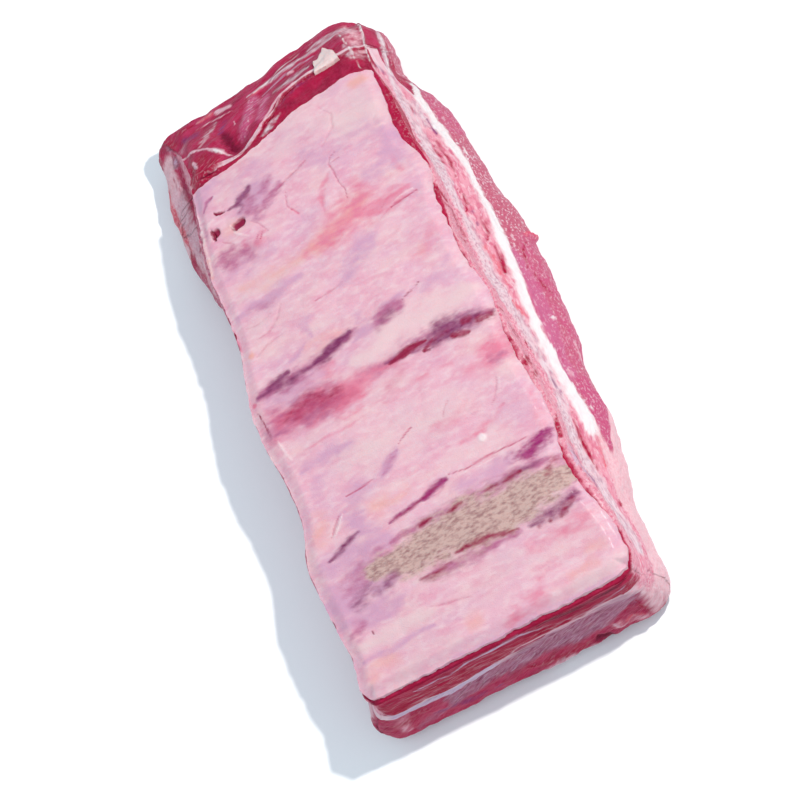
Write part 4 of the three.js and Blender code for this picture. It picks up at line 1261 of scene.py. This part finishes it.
@dataclass(frozen=True)
class Stain:
    """How one tint looks in a finish: its colour, its streaks and how it breaks up."""

    tint: Tint
    colour: str
    streak: str = ""  # colour of the streaks within it, along the grain
    ragged: float = 0.6  # how hard noise breaks up its soft edge
    ragged_size: float = 2.0  # across the grain, in millimetres
    streak_share: float = 0.6
    share: float = 1.0  # how much of what lies under it it hides
    glint: float = 0.0  # share of small pale specks: painted highlights, where wet fibres would catch the lamp


@dataclass(frozen=True)
class Cloud:
    """Patches of a colour that come and go over a finish, drawn out along the grain."""

    colour: str
    size: float  # across the grain, in millimetres
    share: float
    start: float = 0.42  # level of the noise where the patches begin


@dataclass(frozen=True)
class Finish:
    """A surface made by nature or by the saw, with its colours, grain and gloss."""

    name: str
    base: str
    clouds: tuple[Cloud, ...]
    grain: str  # colour of the fine grain
    grain_size: float  # thickness of a fibre or grain
    grain_share: float
    grain_depth: float
    stains: tuple[Stain, ...]
    roughness: float = 0.42
    specular: float = 0.12
    coat: float = 0.05  # the film of juice
    subsurface: float = 0.2
    scatter: float = 1.6  # millimetres
    pore_size: float = 0.55
    pore_depth: float = 0.06

    def material(self) -> bpy.types.Material:
        """Builds the node material.

        Returns:
            The material, reading the mesh's tint weights and its grain coordinates.
        """
        made = bpy.data.materials.new(self.name)
        made.use_nodes = True
        tree = made.node_tree
        tree.nodes.clear()
        grain_at = add_node(tree, "ShaderNodeAttribute", {}, attribute_name="grain").outputs["Vector"]
        object_at = add_node(tree, "ShaderNodeTexCoord", {}).outputs["Object"]
        colour: Any = linear(self.base)
        for number, cloud in enumerate(self.clouds):
            place = shifted(tree, grain_at, CLOUD_NOISE + number)
            patches = waves(tree, place, 1 / cloud.size, 3.0, (cloud.start, CLOUD_TOP))
            colour = mixed(tree, scaled(tree, patches, cloud.share), colour, linear(cloud.colour))
        fibres = waves(tree, grain_at, 1 / self.grain_size, 2.0)
        colour = mixed(tree, scaled(tree, fibres, self.grain_share), colour, linear(self.grain))
        for number, stain in enumerate(self.stains):
            colour = self.stained(tree, colour, stain, number, grain_at)
        pores = waves(tree, object_at, 1 / (self.pore_size * MM), 2.0)
        fibre_bump = add_node(tree, "ShaderNodeBump", {"Height": fibres, "Distance": self.grain_depth * MM})
        pore_bump = add_node(tree, "ShaderNodeBump", {
            "Height": pores, "Distance": self.pore_depth * MM, "Normal": fibre_bump.outputs[0]})
        skin = add_node(tree, "ShaderNodeBsdfPrincipled", {
            "Base Color": colour, "Roughness": self.roughness, "Normal": pore_bump.outputs[0], "IOR": 1.4,
            "Coat Weight": self.coat, "Coat Roughness": 0.16, "Coat IOR": 1.36,
            "Specular IOR Level": self.specular, "Subsurface Weight": self.subsurface,
            "Subsurface Radius": RED_SCATTER, "Subsurface Scale": self.scatter * MM}).outputs[0]
        add_node(tree, "ShaderNodeOutputMaterial", {"Surface": skin})
        return made

    def stained(self, tree: bpy.types.NodeTree, under: Any, stain: Stain, number: int, grain_at: Any) -> Any:
        """Lays one tint over the colour so far, broken up where its weight is neither 0 nor 1.

        Args:
            tree: The material's nodes.
            under: Colour below the tint.
            stain: How the tint looks.
            number: The tint's place in the list, which shifts its noise.
            grain_at: Coordinates along the grain.
        Returns:
            The socket with the new colour.
        """
        weight = add_node(tree, "ShaderNodeAttribute", {}, attribute_name=stain.tint.value).outputs["Fac"]
        rest = add_node(tree, "ShaderNodeMath", {0: 1.0, 1: weight}, operation="SUBTRACT").outputs[0]
        swing = add_node(tree, "ShaderNodeMath", {0: weight, 1: rest}, operation="MULTIPLY").outputs[0]
        eaten = waves(tree, shifted(tree, grain_at, number), 1 / stain.ragged_size, 3.0)
        pull = {0: eaten, 1: -4 * stain.ragged, 2: 2 * stain.ragged}
        lean = add_node(tree, "ShaderNodeMath", pull, operation="MULTIPLY_ADD").outputs[0]
        eroded = {0: swing, 1: lean, 2: weight}
        cover = add_node(tree, "ShaderNodeMath", eroded, operation="MULTIPLY_ADD", use_clamp=True).outputs[0]
        pigment: Any = linear(stain.colour)
        if stain.streak:
            streaks = waves(tree, grain_at, 0.8 / self.grain_size, 2.0, STREAK_LEVELS)
            pigment = mixed(tree, scaled(tree, streaks, stain.streak_share), pigment, linear(stain.streak))
        # painted highlights: pale specks mixed into the pigment
        if stain.glint:
            place = shifted(tree, grain_at, PAINTED_GLINT_NOISE + number)
            painted_glints = waves(tree, place, 1 / PAINTED_GLINT_SIZE, 2.0, PAINTED_GLINT_LEVELS)
            pigment = mixed(tree, scaled(tree, painted_glints, stain.glint), pigment, linear(PAINTED_GLINT))
        return mixed(tree, scaled(tree, cover, stain.share), under, pigment)


def add_node(tree: bpy.types.NodeTree, kind: str, inputs: dict[Any, Any], **settings: Any) -> bpy.types.Node:
    """Adds a node with its settings, input values and links.

    Args:
        tree: The node tree to add to.
        kind: The node's type name.
        inputs: Values or sockets by input name or number.
        **settings: Attributes to set on the node.
    Returns:
        The new node.
    """
    node = tree.nodes.new(kind)
    for name, value in settings.items():
        setattr(node, name, value)
    for name, value in inputs.items():
        if isinstance(value, bpy.types.NodeSocket):
            tree.links.new(value, node.inputs[name])
        else:
            node.inputs[name].default_value = value
    return node


def waves(
        tree: bpy.types.NodeTree, place: Any, scale: float, detail: float,
        levels: tuple[float, float] = (0.32, 0.68)) -> Any:
    """Adds noise with its contrast stretched.

    Args:
        tree: The material's nodes.
        place: Socket of the coordinates.
        scale: Waves for each unit of the coordinates.
        detail: Number of finer layers.
        levels: Values of the noise that become 0 and 1.
    Returns:
        The socket with the noise.
    """
    raw = add_node(tree, "ShaderNodeTexNoise", {"Vector": place, "Scale": scale, "Detail": detail})
    limits = {"Value": raw.outputs["Fac"], "From Min": levels[0], "From Max": levels[1]}
    return add_node(tree, "ShaderNodeMapRange", limits, clamp=True).outputs[0]


def shifted(tree: bpy.types.NodeTree, place: Any, number: int) -> Any:
    """Moves coordinates to a part of the noise that only this number uses."""
    return add_node(tree, "ShaderNodeVectorMath", {0: place, 1: (number * NOISE_STRIDE, 0.0, 0.0)}).outputs[0]


def scaled(tree: bpy.types.NodeTree, value: Any, share: float) -> Any:
    """Adds a product of a value and a share and returns its socket."""
    return add_node(tree, "ShaderNodeMath", {0: value, 1: share}, operation="MULTIPLY").outputs[0]


def mixed(tree: bpy.types.NodeTree, share: Any, first: Any, second: Any) -> Any:
    """Adds a colour mix from first to second and returns its socket."""
    return add_node(tree, "ShaderNodeMix", {0: share, 6: first, 7: second}, data_type="RGBA").outputs[2]


# Moist serous skin over bone: a soft even shine, peach and lavender clouds, faint woven fibres.
MEMBRANE_SKIN = Finish(
    "moist_rib_membrane", "#F1B9C9",
    (
        Cloud("#F4CCCA", 9.0, 0.6),
        Cloud("#E2A8C4", 11.0, 0.6, 0.46),
        Cloud("#EA98B2", 4.6, 0.55, 0.46),
        Cloud("#F9DDE0", 2.2, 0.45, 0.48),
    ),
    "#F8DAE2", 0.9, 0.14, 0.04,
    (
        Stain(Tint.CREAM, "#F2CDD1", "", 0.6, 5.0),
        Stain(Tint.PEACH, "#F4B2AA", "", 0.6, 4.0),
        Stain(Tint.ROSE, "#EB86A0", "", 0.8, 3.0),
        Stain(Tint.LAVENDER, "#DCA6C2", "", 0.8, 3.0),
        Stain(Tint.MAUVE, "#C06C92", "", 0.8, 2.6),
        Stain(Tint.TAN, "#D6B2AA", "#8C525A", 0.9, 2.0, 0.65),
        Stain(Tint.PURPLE, "#842E60", "#A25884", 0.6, 2.0),
        Stain(Tint.MAGENTA, "#AA2C74", "#8A1C5C", 0.8, 1.8),
        Stain(Tint.BLOOD, "#961440", "#B03860", 0.7, 1.6),
        Stain(Tint.CREASE, "#CC4670", "", 0.4, 1.5, 0.6, 0.75),
        Stain(Tint.WHITE, "#FFF0EF", "", 0.5, 1.5, 0.6, 0.8),
    ),
    roughness=0.48, specular=0.25, coat=0.08, subsurface=0.2, scatter=1.6)

# glint: the share of painted highlight specks in each stain
CUT_STAINS = (
    Stain(Tint.PALE, "#F8C6CE", "#F2A6B4", 0.8, 2.2, 0.6, glint=0.3),
    Stain(Tint.GRANULAR, "#F2A6B6", "#DA5C80", 0.9, 1.8, 0.75, glint=0.4),
    Stain(Tint.DUSTY, "#D26E86", "#BC4064", 0.7, 2.0, 0.6, glint=0.55),
    Stain(Tint.MAUVE, "#BA7894", "#861E48", 0.7, 2.2, 0.85, glint=0.2),
    Stain(Tint.MAGENTA, "#D66E96", "#C4527E", 0.5, 2.6, 0.4, glint=0.3),
    Stain(Tint.SILVER, "#EED8DE", "#C08CA0", 0.9, 1.2, 0.8, 0.9, 0.5),
    Stain(Tint.LAVENDER, "#D4B4D0", "#E8D4E2", 0.7, 1.6),
    Stain(Tint.CORAL, "#E8566C", "#F08C98", 0.8, 1.6, glint=0.3),
    Stain(Tint.ROSE, "#D0507E", "#DC7498", 0.7, 2.2, 0.5, glint=0.35),
    Stain(Tint.BRIGHT, "#AE0A3A", "#CC3860", 0.9, 1.6, 0.45, glint=0.2),
    Stain(Tint.PURPLE, "#84306C", "#A65C94", 0.8, 1.6),
    # dark red: the meat's own dark patches, and painted shade in the shelf's hollow and a near-face pit
    Stain(Tint.DARK, "#78062E", "#961848", 0.8, 1.6),
    Stain(Tint.FAT, "#F2BECA", "#E698AC", 0.9, 1.4, glint=0.4),
    Stain(Tint.WHITE, "#FEF4F4", "#F8D8DE", 0.9, 1.6, 0.5),
)

# Meat between the ribs, cut across its fibres: wet crimson, granular pink where fat runs through it.
RIB_MEAT = Finish(
    "moist_rib_meat", "#B60A40", (Cloud("#8A0430", 5.0, 0.8), Cloud("#CE3A62", 3.0, 0.4, 0.52)),
    "#CA3E66", 0.7, 0.3, 0.16, CUT_STAINS, subsurface=0.12, scatter=1.5)

# Hard white fat and fascia in a seam: waxy, faintly pink where meat juice stains it.
SEAM_FAT = Finish(
    "waxy_seam_fat", "#F3C2CC", (Cloud("#EDA9B8", 6.0, 0.8), Cloud("#F9DEE4", 3.0, 0.6)),
    "#F8DCE2", 1.0, 0.4, 0.08, CUT_STAINS, roughness=0.45)

# The thick chuck muscle: long wet fibres, silvery skin drawn over them, flecks of fat between.
CHUCK_MUSCLE = Finish(
    "moist_chuck_muscle", "#BC1448", (Cloud("#8A0636", 7.0, 0.75), Cloud("#D04A74", 3.4, 0.45, 0.5)),
    "#D65680", 0.7, 0.35, 0.2, CUT_STAINS, subsurface=0.12, scatter=1.6)

# A flake of hard fat: dry, cream and faceted.
FAT_FLAKE = Finish(
    "dry_fat_flake", "#F6DAD6", (Cloud("#F0C2C4", 3.0, 0.8), Cloud("#FDEDE8", 2.0, 0.6)),
    "#FBE2DE", 0.8, 0.4, 0.08, (), roughness=0.5)

# Sawn bone: pale pores with pink marrow between, and a harder rim.
SAWN_BONE = Finish(
    "sawn_rib_bone", "#F0A6B4", (Cloud("#E2829A", 4.0, 0.8), Cloud("#F8D4D6", 2.0, 0.7)),
    "#F8D4D6", 0.6, 0.6, 0.2, CUT_STAINS, roughness=0.45)


# ------------------------------------------------------------------ pieces
SHARP_ANGLE = 60.0  # degrees beyond which an edge stays sharp
END_FACING = 0.6  # of the outward direction, above which a point lies on an end
END_GRAIN = (1.0, 0.12, 1.0)  # fibres run along the near face


@dataclass
class Piece:
    """A dressed piece that stands for one of the slab's solids."""

    name: str
    node: str
    slot: str
    finish: Finish

    def surface(self) -> tuple[Surface, dict[str, Array]]:
        """Builds the piece's surface and its tint weights."""
        raise NotImplementedError

    def grain(self, points: Array, facing: Array) -> Array:
        """Gives coordinates in which noise runs along the fibres."""
        return points * np.array([1.0, 0.4, 1.0])

    def build(self) -> bpy.types.Object:
        """Returns:
            The new object.
        """
        surface, weights = self.surface()
        metres = (surface.points + CENTRE_SHIFT) * MM
        mesh = bpy.data.meshes.new(self.name)
        mesh.from_pydata(metres.tolist(), [], surface.faces)
        mesh.polygons.foreach_set("use_smooth", np.ones(len(mesh.polygons), bool))
        for name, weight in weights.items():
            mesh.attributes.new(name, "FLOAT", "POINT").data.foreach_set("value", weight.astype(np.float32))
        grain = self.grain(surface.points, surface.facing).astype(np.float32)
        mesh.attributes.new("grain", "FLOAT_VECTOR", "POINT").data.foreach_set("vector", grain.ravel())
        mesh.set_sharp_from_angle(angle=math.radians(SHARP_ANGLE))
        mesh.update()
        mesh.materials.append(bpy.data.materials.get(self.finish.name) or self.finish.material())
        made = bpy.data.objects.new(self.name, mesh)
        bpy.context.scene.collection.objects.link(made)
        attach(made, BODY)
        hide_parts(self.node)
        LOG.info("%s: %d points, %d faces", self.name, len(mesh.vertices), len(mesh.polygons))
        return made


@dataclass
class Membrane(Piece):
    """The pale skin over the ribs, torn along the sawn side."""

    lattice: Lattice = Lattice(rows=200, plate=440)
    tear: Ripple = Ripple(0.5, 3.2, 24, 3)  # of its edges
    tear_stretch: tuple[float, float, float] = (1.0, 1.0, 0.4)
    short: float = 1.8  # how much it has drawn back from the near end
    short_x: tuple[float, float] = (128.0, 150.0)
    rim_lift: float = 0.5  # the rim along the hidden side turns up
    rim_y: tuple[float, float] = (-50.0, -60.0)
    broad_folds: Ripple = Ripple(0.30, (13.0, 26.0, 30.0), 21)
    fine_folds: Ripple = Ripple(0.16, (4.0, 9.0, 9.0), 22)
    wrinkle_paths: Ripple = Ripple(1.0, (8.0, 17.0, 20.0), 23, 1)  # a wrinkle runs where this is near 0
    wrinkle_depth: float = 0.22
    wrinkle_sharpness: int = 8

    def grain(self, points: Array, facing: Array) -> Array:
        """Draws the stains out across the slab, as the ribs run."""
        return points * np.array([1.0, 0.42, 0.6])

    def surface(self) -> tuple[Surface, dict[str, Array]]:
        """Builds the skin with its folds, creases and stains.

        Returns:
            The surface, and its tint weights.
        """
        top: ZFunction = lambda x, y: SLAB.plate_top(x, y) + SLAB.gap + SLAB.membrane
        skin = closed_layer(
            ((Zone.PLATE, top),), SLAB.plate_top, wall_steps=4, seen_zones=1, ledge=0.0, lattice=self.lattice)
        x, y, _ = skin.points.T
        skin.points[:, 0] -= self.short * smooth(*self.short_x, x)
        skin.points[:, 2] += self.rim_lift * smooth(*self.rim_y, y) * skin.upward
        weights, rise = paint(MEMBRANE_MARKS, skin.points, skin.facing)
        p = skin.points
        folds = self.broad_folds.at(p) + self.fine_folds.at(p)
        wrinkles = -self.wrinkle_depth * (1 - np.abs(self.wrinkle_paths.at(p))) ** self.wrinkle_sharpness
        skin.push(self.tear.at(p * self.tear_stretch), folds + wrinkles + rise)
        return skin, weights


CUT_WAVES = Ripple(0.3, 7.0, 32)
CUT_GRAINS = Ripple(0.12, (2.2, 2.2, 1.6), 31)


def shared_relief(points: Array) -> Array:
    """Gives the unevenness that all layers of the cut sides share, so that no step opens between them."""
    return CUT_WAVES.at(points) + CUT_GRAINS.at(points)


@dataclass
class RibMeat(Piece):
    """The meat around the ribs: a granular sawn side, and a dark wedge on the shelf."""

    fibres: Ripple = Ripple(0.35, 2.4, 33, 3)
    wedge_lumps: Ripple = Ripple(0.45, (3.0, 5.0, 3.0), 34, 3)
    wedge_x: float = -100.0  # the wedge lies beyond it

    def grain(self, points: Array, facing: Array) -> Array:
        """Runs fibres along the near face, and leaves the sawn sides granular."""
        return points * np.where(np.abs(facing[:, :1]) > END_FACING, END_GRAIN, (0.6, 0.5, 1.0))

    def surface(self) -> tuple[Surface, dict[str, Array]]:
        """Builds the meat with its granules and torn fibres.

        Returns:
            The surface, and its tint weights.
        """
        zones = ((Zone.WEDGE, SLAB.shelf_top), (Zone.PLATE, SLAB.plate_top))
        meat = closed_layer(zones, SLAB.seam_top, wall_steps=24, seen_zones=1)
        weights, rise = paint(CUT_MARKS, meat.points, meat.facing)
        rough = self.fibres.at(self.grain(meat.points, meat.facing)) * smooth(0, 3, meat.inset)
        wedge = meat.points[:, 0] < self.wedge_x
        top = np.where(wedge, self.wedge_lumps.at(meat.points) + rise, 0.0)
        meat.push(rough + shared_relief(meat.points) + rise, top)
        return meat, weights


@dataclass
class FatSeam(Piece):
    """The seam of fat and fascia under the ribs, whose edge draws a pale line on the shelf."""

    swelling: Ripple = Ripple(0.25, (12.0, 8.0, 3.0), 41)
    line_lumps: Ripple = Ripple(0.35, (4.0, 7.0, 4.0), 42)
    line_rise: float = 0.1

    def grain(self, points: Array, facing: Array) -> Array:
        """Runs streaks along the seam."""
        return points * np.where(np.abs(facing[:, :1]) > END_FACING, END_GRAIN, (0.3, 0.5, 1.0))

    def surface(self) -> tuple[Surface, dict[str, Array]]:
        """Builds the seam with its soft swellings.

        Returns:
            The surface, and its tint weights.
        """
        zones = ((Zone.STRIP, SLAB.shelf_top), (Zone.WEDGE, SLAB.seam_top), (Zone.PLATE, SLAB.seam_top))
        seam = closed_layer(zones, SLAB.seam_bottom, wall_steps=10, seen_zones=1)
        weights, rise = paint(CUT_MARKS, seam.points, seam.facing)
        swell = self.swelling.at(seam.points) * smooth(0, 2, seam.inset)
        strip = np.arange(len(seam.points)) < (LATTICE.strip + 1) * (LATTICE.rows + 1)
        top = np.where(strip, self.line_rise + self.line_lumps.at(seam.points) + rise, 0.0)
        seam.push(swell + shared_relief(seam.points) + rise, top)
        return seam, weights


@dataclass
class ChuckMuscle(Piece):
    """The thick muscle: a striped near face, a granular outer side and the shelf's bundles."""

    slant: float = 32.0  # degrees that the near face's fibres climb
    bundles: Ripple = Ripple(0.5, 4.5, 51)
    shelf_share: float = 0.7  # of the bundles and fibres, on the shelf
    fibres: Ripple = Ripple(0.22, 1.6, 52)
    broad: Ripple = Ripple(0.4, (11.0, 11.0, 8.0), 53)
    shelf_lumps: Ripple = Ripple(0.5, (7.0, 14.0, 9.0), 54)
    floor_lumps: Ripple = Ripple(0.4, 6.0, 55)
    floor_lift: float = 0.5  # keeps the underside's lumps off the table
    shoulder_x: float = -130.0  # beyond it the bundles run up to the rim

    def grain(self, points: Array, facing: Array) -> Array:
        """Runs fibres up the near face aslant, along the shelf, and leaves the sides granular.

        Args:
            points: Places on the surface, as an (n, 3) array.
            facing: Outward direction at each place.
        Returns:
            The coordinates for noise.
        """
        turn = math.radians(self.slant)
        x, y, z = points.T
        along, over = y * math.cos(turn) + z * math.sin(turn), z * math.cos(turn) - y * math.sin(turn)
        slanted = np.stack([x, along * 0.12, over], axis=1)
        bundle = np.stack([x + 0.25 * y, y * 0.2, z], axis=1)
        granular = points * (0.6, 0.6, 1.0)
        near, top = facing[:, :1] > 0.5, (facing[:, 2:] > 0.5) | (facing[:, :1] < -0.5)
        return np.where(near, slanted, np.where(top, bundle, granular))

    def surface(self) -> tuple[Surface, dict[str, Array]]:
        """Builds the muscle with its bundles, grooves and torn edges.

        Returns:
            The surface, and its tint weights.
        """
        under = SLAB.seam_bottom
        zones = ((Zone.SHELF, SLAB.shelf_top), (Zone.STRIP, under), (Zone.WEDGE, under), (Zone.PLATE, under))
        muscle = closed_layer(zones, SLAB.foot, wall_steps=36, seen_zones=1, floor_step=2)
        weights, rise = paint(CUT_MARKS, muscle.points, muscle.facing)
        p, g = muscle.points, self.grain(muscle.points, muscle.facing)
        bundles = self.bundles.at(g) + self.fibres.at(g)
        shelf = np.arange(len(p)) < (LATTICE.shelf + 1) * (LATTICE.rows + 1)
        inside = np.where(p[:, 0] < self.shoulder_x, 1.0, smooth(0, 4, muscle.inset))
        top = np.where(shelf, self.shelf_share * bundles + self.shelf_lumps.at(p) + rise, 0.0)
        floor = np.where(muscle.upward < 0, self.floor_lift + self.floor_lumps.at(g), 0.0)
        side = (bundles + self.broad.at(p)) * inside + shared_relief(p) + rise
        muscle.push(side * smooth(0, 6, p[:, 2]), top + floor)
        muscle.points[:, 2] = np.maximum(muscle.points[:, 2], 0.0)
        return muscle, weights


@dataclass
class RibBone(Piece):
    """A flat rib whose sawn ends show on both sides of the slab."""

    number: int = 0
    around: int = 96
    rings: int = 20
    stations: int = 8
    squareness: float = 2.6  # 2 would be an ellipse
    pith: float = 0.02  # share of the section inside the cap's smallest ring
    inner: float = 0.9  # share of the width whose plate height its middle follows
    proud: float = 0.3
    marrow_size: tuple[float, float, float] = (6.0, 6.0, 4.0)
    marrow_share: float = 0.5
    marrow_seed: int = 60

    def grain(self, points: Array, facing: Array) -> Array:
        """Leaves the pores round."""
        return points

    def surface(self) -> tuple[Surface, dict[str, Array]]:
        """Builds the bar with a porous cap at each end.

        Returns:
            The surface, and its tint weights.
        """
        angle = np.linspace(0, 2 * np.pi, self.around, endpoint=False)
        power = 2 / self.squareness
        half = SLAB.rib_width / 2 * (1 - SLAB.rib_narrowing * self.number)
        oval_x = np.sign(np.cos(angle)) * np.abs(np.cos(angle)) ** power * half
        oval_z = np.sign(np.sin(angle)) * np.abs(np.sin(angle)) ** power * SLAB.rib_thickness / 2
        x0 = SLAB.rib_x(self.number)
        shares = [*np.linspace(self.pith, 1, self.rings)[:-1]]
        loops = [(-SLAB.half_width, r, -1.0) for r in shares]
        loops += [(y, 1.0, 0.0) for y in np.linspace(-SLAB.half_width, SLAB.half_width, self.stations + 1)]
        loops += [(SLAB.half_width, r, 1.0) for r in shares[::-1]]
        points, outward = [], []
        for y, r, side in loops:
            plate = SLAB.plate_top(np.array(x0), np.array(y * self.inner))
            middle = plate - SLAB.rib_cover - SLAB.rib_thickness / 2
            x, z = x0 + oval_x * r, middle + oval_z * r
            points.append(SLAB.place(x, np.full_like(x, y), z))
            outward.append(np.tile((0.0, side, 0.0), (self.around, 1)))
        flat, out = np.concatenate(points), np.concatenate(outward)
        index = np.arange(len(flat)).reshape(len(loops), self.around)
        faces = belt(index) + [tuple(index[0].tolist()), tuple(index[-1, ::-1].tolist())]
        still = np.zeros(len(flat))
        bone = Surface(flat, out, out, still, still, faces)
        weights, rise = paint(CUT_MARKS, flat, out)
        marrow = smooth(0.2, 0.8, noise(flat, self.marrow_size, self.marrow_seed + self.number, 2))
        weights[Tint.BRIGHT.value] = np.maximum(weights[Tint.BRIGHT.value], self.marrow_share * marrow)
        bone.push(self.proud + rise + shared_relief(flat), still)
        return bone, weights


@dataclass
class FatChunk(Piece):
    """A five-cornered flake of fat left on the shelf."""

    x: float = -135.0
    y: float = 37.7
    length: float = 15.0
    width: float = 9.0
    corner: float = 1.4  # how far its fifth corner stands out
    thickness: float = 2.4
    lift: float = 0.6  # its upper rim stands as far over the shelf as its underside sinks in
    worn: float = 0.35  # share of the thickness lost at the rim
    bevel: tuple[float, float] = (0.08, 0.06)  # how much smaller its upper side is, along and across
    skew: float = 0.12
    cells: tuple[int, int] = (28, 36)
    faces: Ripple = Ripple(0.35, (3.0, 3.0, 9.0), 71)
    rough_x: Ripple = Ripple(0.25, 2.6, 72)
    rough_y: Ripple = Ripple(0.25, 2.6, 73)

    def surface(self) -> tuple[Surface, dict[str, Array]]:
        """Builds the flake with worn corners.

        Returns:
            The surface, and its tint weights.
        """
        ni, nj = self.cells
        u, v = np.meshgrid(np.linspace(-1, 1, ni + 1), np.linspace(-1, 1, nj + 1), indexing="ij")
        rim = np.maximum(np.abs(u), np.abs(v))
        corner = self.corner * np.clip(-2 * u, 0, 1) * np.clip(1 - np.abs(v - 0.2) / 0.8, 0, 1)
        crown = (self.thickness * (1 - self.worn * rim**4)).ravel()
        sides = []
        for upper in (1, 0):
            x = self.x + self.width / 2 * u * (1 + corner) * (1 - self.bevel[0] * upper)
            y = self.y + self.length / 2 * v * (1 + self.skew * u) * (1 - self.bevel[1] * upper)
            at = SLAB.place(x, y, SLAB.shelf_top(x, y)).reshape(-1, 3)
            at[:, :2] += np.stack([self.rough_x.at(at), self.rough_y.at(at)], axis=1)
            at[:, 2] += self.lift * (2 * upper - 1) + upper * crown
            at[:, 2] += upper * self.faces.at(at)
            sides.append(at)
        grid = np.arange(u.size).reshape(u.shape)
        ring = grid[rim_of(ni, nj)]
        faces = quads(grid) + [quad[::-1] for quad in quads(grid + u.size)]
        faces += belt(np.stack([ring, ring + u.size]))
        points = np.concatenate(sides)
        still = np.zeros_like(points)
        return Surface(points, still, still, still[:, 0], still[:, 0], faces), {}


@dataclass(frozen=True)
class Floor:
    """The pale floor: matt paper, without a gloss."""

    reach: float = 4.0  # metres from the middle to each edge
    colour: tuple[float, float, float, float] = (0.93, 0.94, 0.95, 1.0)
    roughness: float = 0.9
    specular: float = 0.1

    def build(self) -> None:
        """Lays the floor under the slab."""
        mesh = bpy.data.meshes.new("studio_floor")
        corners = [(x * self.reach, y * self.reach, 0) for x, y in ((-1, -1), (1, -1), (1, 1), (-1, 1))]
        mesh.from_pydata(corners, [], [(0, 1, 2, 3)])
        made = bpy.data.objects.new("studio_floor", mesh)
        bpy.context.scene.collection.objects.link(made)
        material = bpy.data.materials.new("pale_paper_floor")
        material.use_nodes = True
        shader = material.node_tree.nodes["Principled BSDF"]
        shader.inputs["Base Color"].default_value = self.colour
        shader.inputs["Roughness"].default_value = self.roughness
        shader.inputs["Specular IOR Level"].default_value = self.specular
        mesh.materials.append(material)


@dataclass(frozen=True)
class Studio:
    """The camera and the light: one warm lamp over the bulging side, and a soft cool sky."""

    target: tuple[float, float, float] = (39.70, -1.335, 52.0)
    azimuth: float = 27.0
    elevation: float = 64.6
    distance: float = 634.8
    roll: float = 53.5
    lens: float = 67.5
    sensor: float = 36.0
    lamp_at: tuple[float, float, float] = (42.0, 230.0, 392.0)
    lamp_radius: float = 8.0
    lamp_strength: float = 30.0
    lamp_colour: tuple[float, float, float] = (1.0, 0.965, 0.91)
    sky_strength: float = 0.87
    sky_colour: tuple[float, float, float, float] = (0.81, 0.91, 1.0, 1.0)

    def build(self) -> None:
        """Makes the camera, the lamp and the sky."""
        scene = bpy.context.scene
        scene.view_settings.view_transform = "Standard"
        self.add_camera(scene)
        self.add_lamp(scene)
        self.add_sky(scene)

    def add_camera(self, scene: bpy.types.Scene) -> None:
        """Sets the camera where the slab was seen from.

        Args:
            scene: The scene to film.
        """
        e, a = math.radians(self.elevation), math.radians(self.azimuth)
        back = Vector((math.cos(e) * math.cos(a), math.cos(e) * math.sin(a), math.sin(e)))
        up = (Vector((0, 0, 1)) - back * back.z).normalized()
        right = (-back).cross(up)
        turn = math.radians(self.roll)
        cam_up = math.cos(turn) * up + math.sin(turn) * right
        cam_right = math.cos(turn) * right - math.sin(turn) * up
        turned = Matrix((cam_right, cam_up, back)).transposed().to_4x4()
        lens = bpy.data.cameras.new("view")
        lens.lens = self.lens
        lens.sensor_width = self.sensor
        lens.clip_end = 20.0
        camera = bpy.data.objects.new("view", lens)
        camera.matrix_world = Matrix.Translation((Vector(self.target) + back * self.distance) * MM) @ turned
        scene.collection.objects.link(camera)
        scene.camera = camera

    def add_lamp(self, scene: bpy.types.Scene) -> None:
        """Hangs the lamp, whose light doesn't weaken with distance.

        Args:
            scene: The scene to light.
        """
        lamp = bpy.data.lights.new("key", "POINT")
        lamp.energy = self.lamp_strength
        lamp.shadow_soft_size = self.lamp_radius * MM
        lamp.color = self.lamp_colour
        lamp.use_nodes = True
        even = add_node(lamp.node_tree, "ShaderNodeLightFalloff", {"Strength": 1.0}).outputs["Constant"]
        lamp.node_tree.links.new(even, lamp.node_tree.nodes["Emission"].inputs["Strength"])
        key = bpy.data.objects.new("key", lamp)
        key.location = Vector(self.lamp_at) * MM
        scene.collection.objects.link(key)

    def add_sky(self, scene: bpy.types.Scene) -> None:
        """Surrounds the slab with an even sky.

        Args:
            scene: The scene to light.
        """
        world = bpy.data.worlds.new("soft_sky")
        world.use_nodes = True
        sky = world.node_tree.nodes["Background"]
        sky.inputs["Color"].default_value = self.sky_colour
        sky.inputs["Strength"].default_value = self.sky_strength
        scene.world = world


def main() -> None:
    """Builds and dresses every piece, then the studio."""
    logging.basicConfig(level=logging.INFO, format="%(message)s")
    Membrane("membrane_skin", "rib_membrane", "membrane", MEMBRANE_SKIN).build()
    RibMeat("meat_between_ribs", "rib_meat", "plate_meat", RIB_MEAT).build()
    for n in range(SLAB.rib_count):
        RibBone(f"sawn_rib_{n + 1}", f"rib_bone_{n + 1}", "bone", SAWN_BONE, n).build()
    FatSeam("seam_of_fat", "fat_seam", "fat", SEAM_FAT).build()
    FatChunk("flake_of_fat", "fat_chunk", "fat", FAT_FLAKE).build()
    ChuckMuscle("thick_chuck_muscle", "chuck_muscle", "muscle", CHUCK_MUSCLE).build()
    Floor().build()
    Studio().build()
    LOG.info("floor, camera and light are set")


if __name__ == "__main__":
    main()
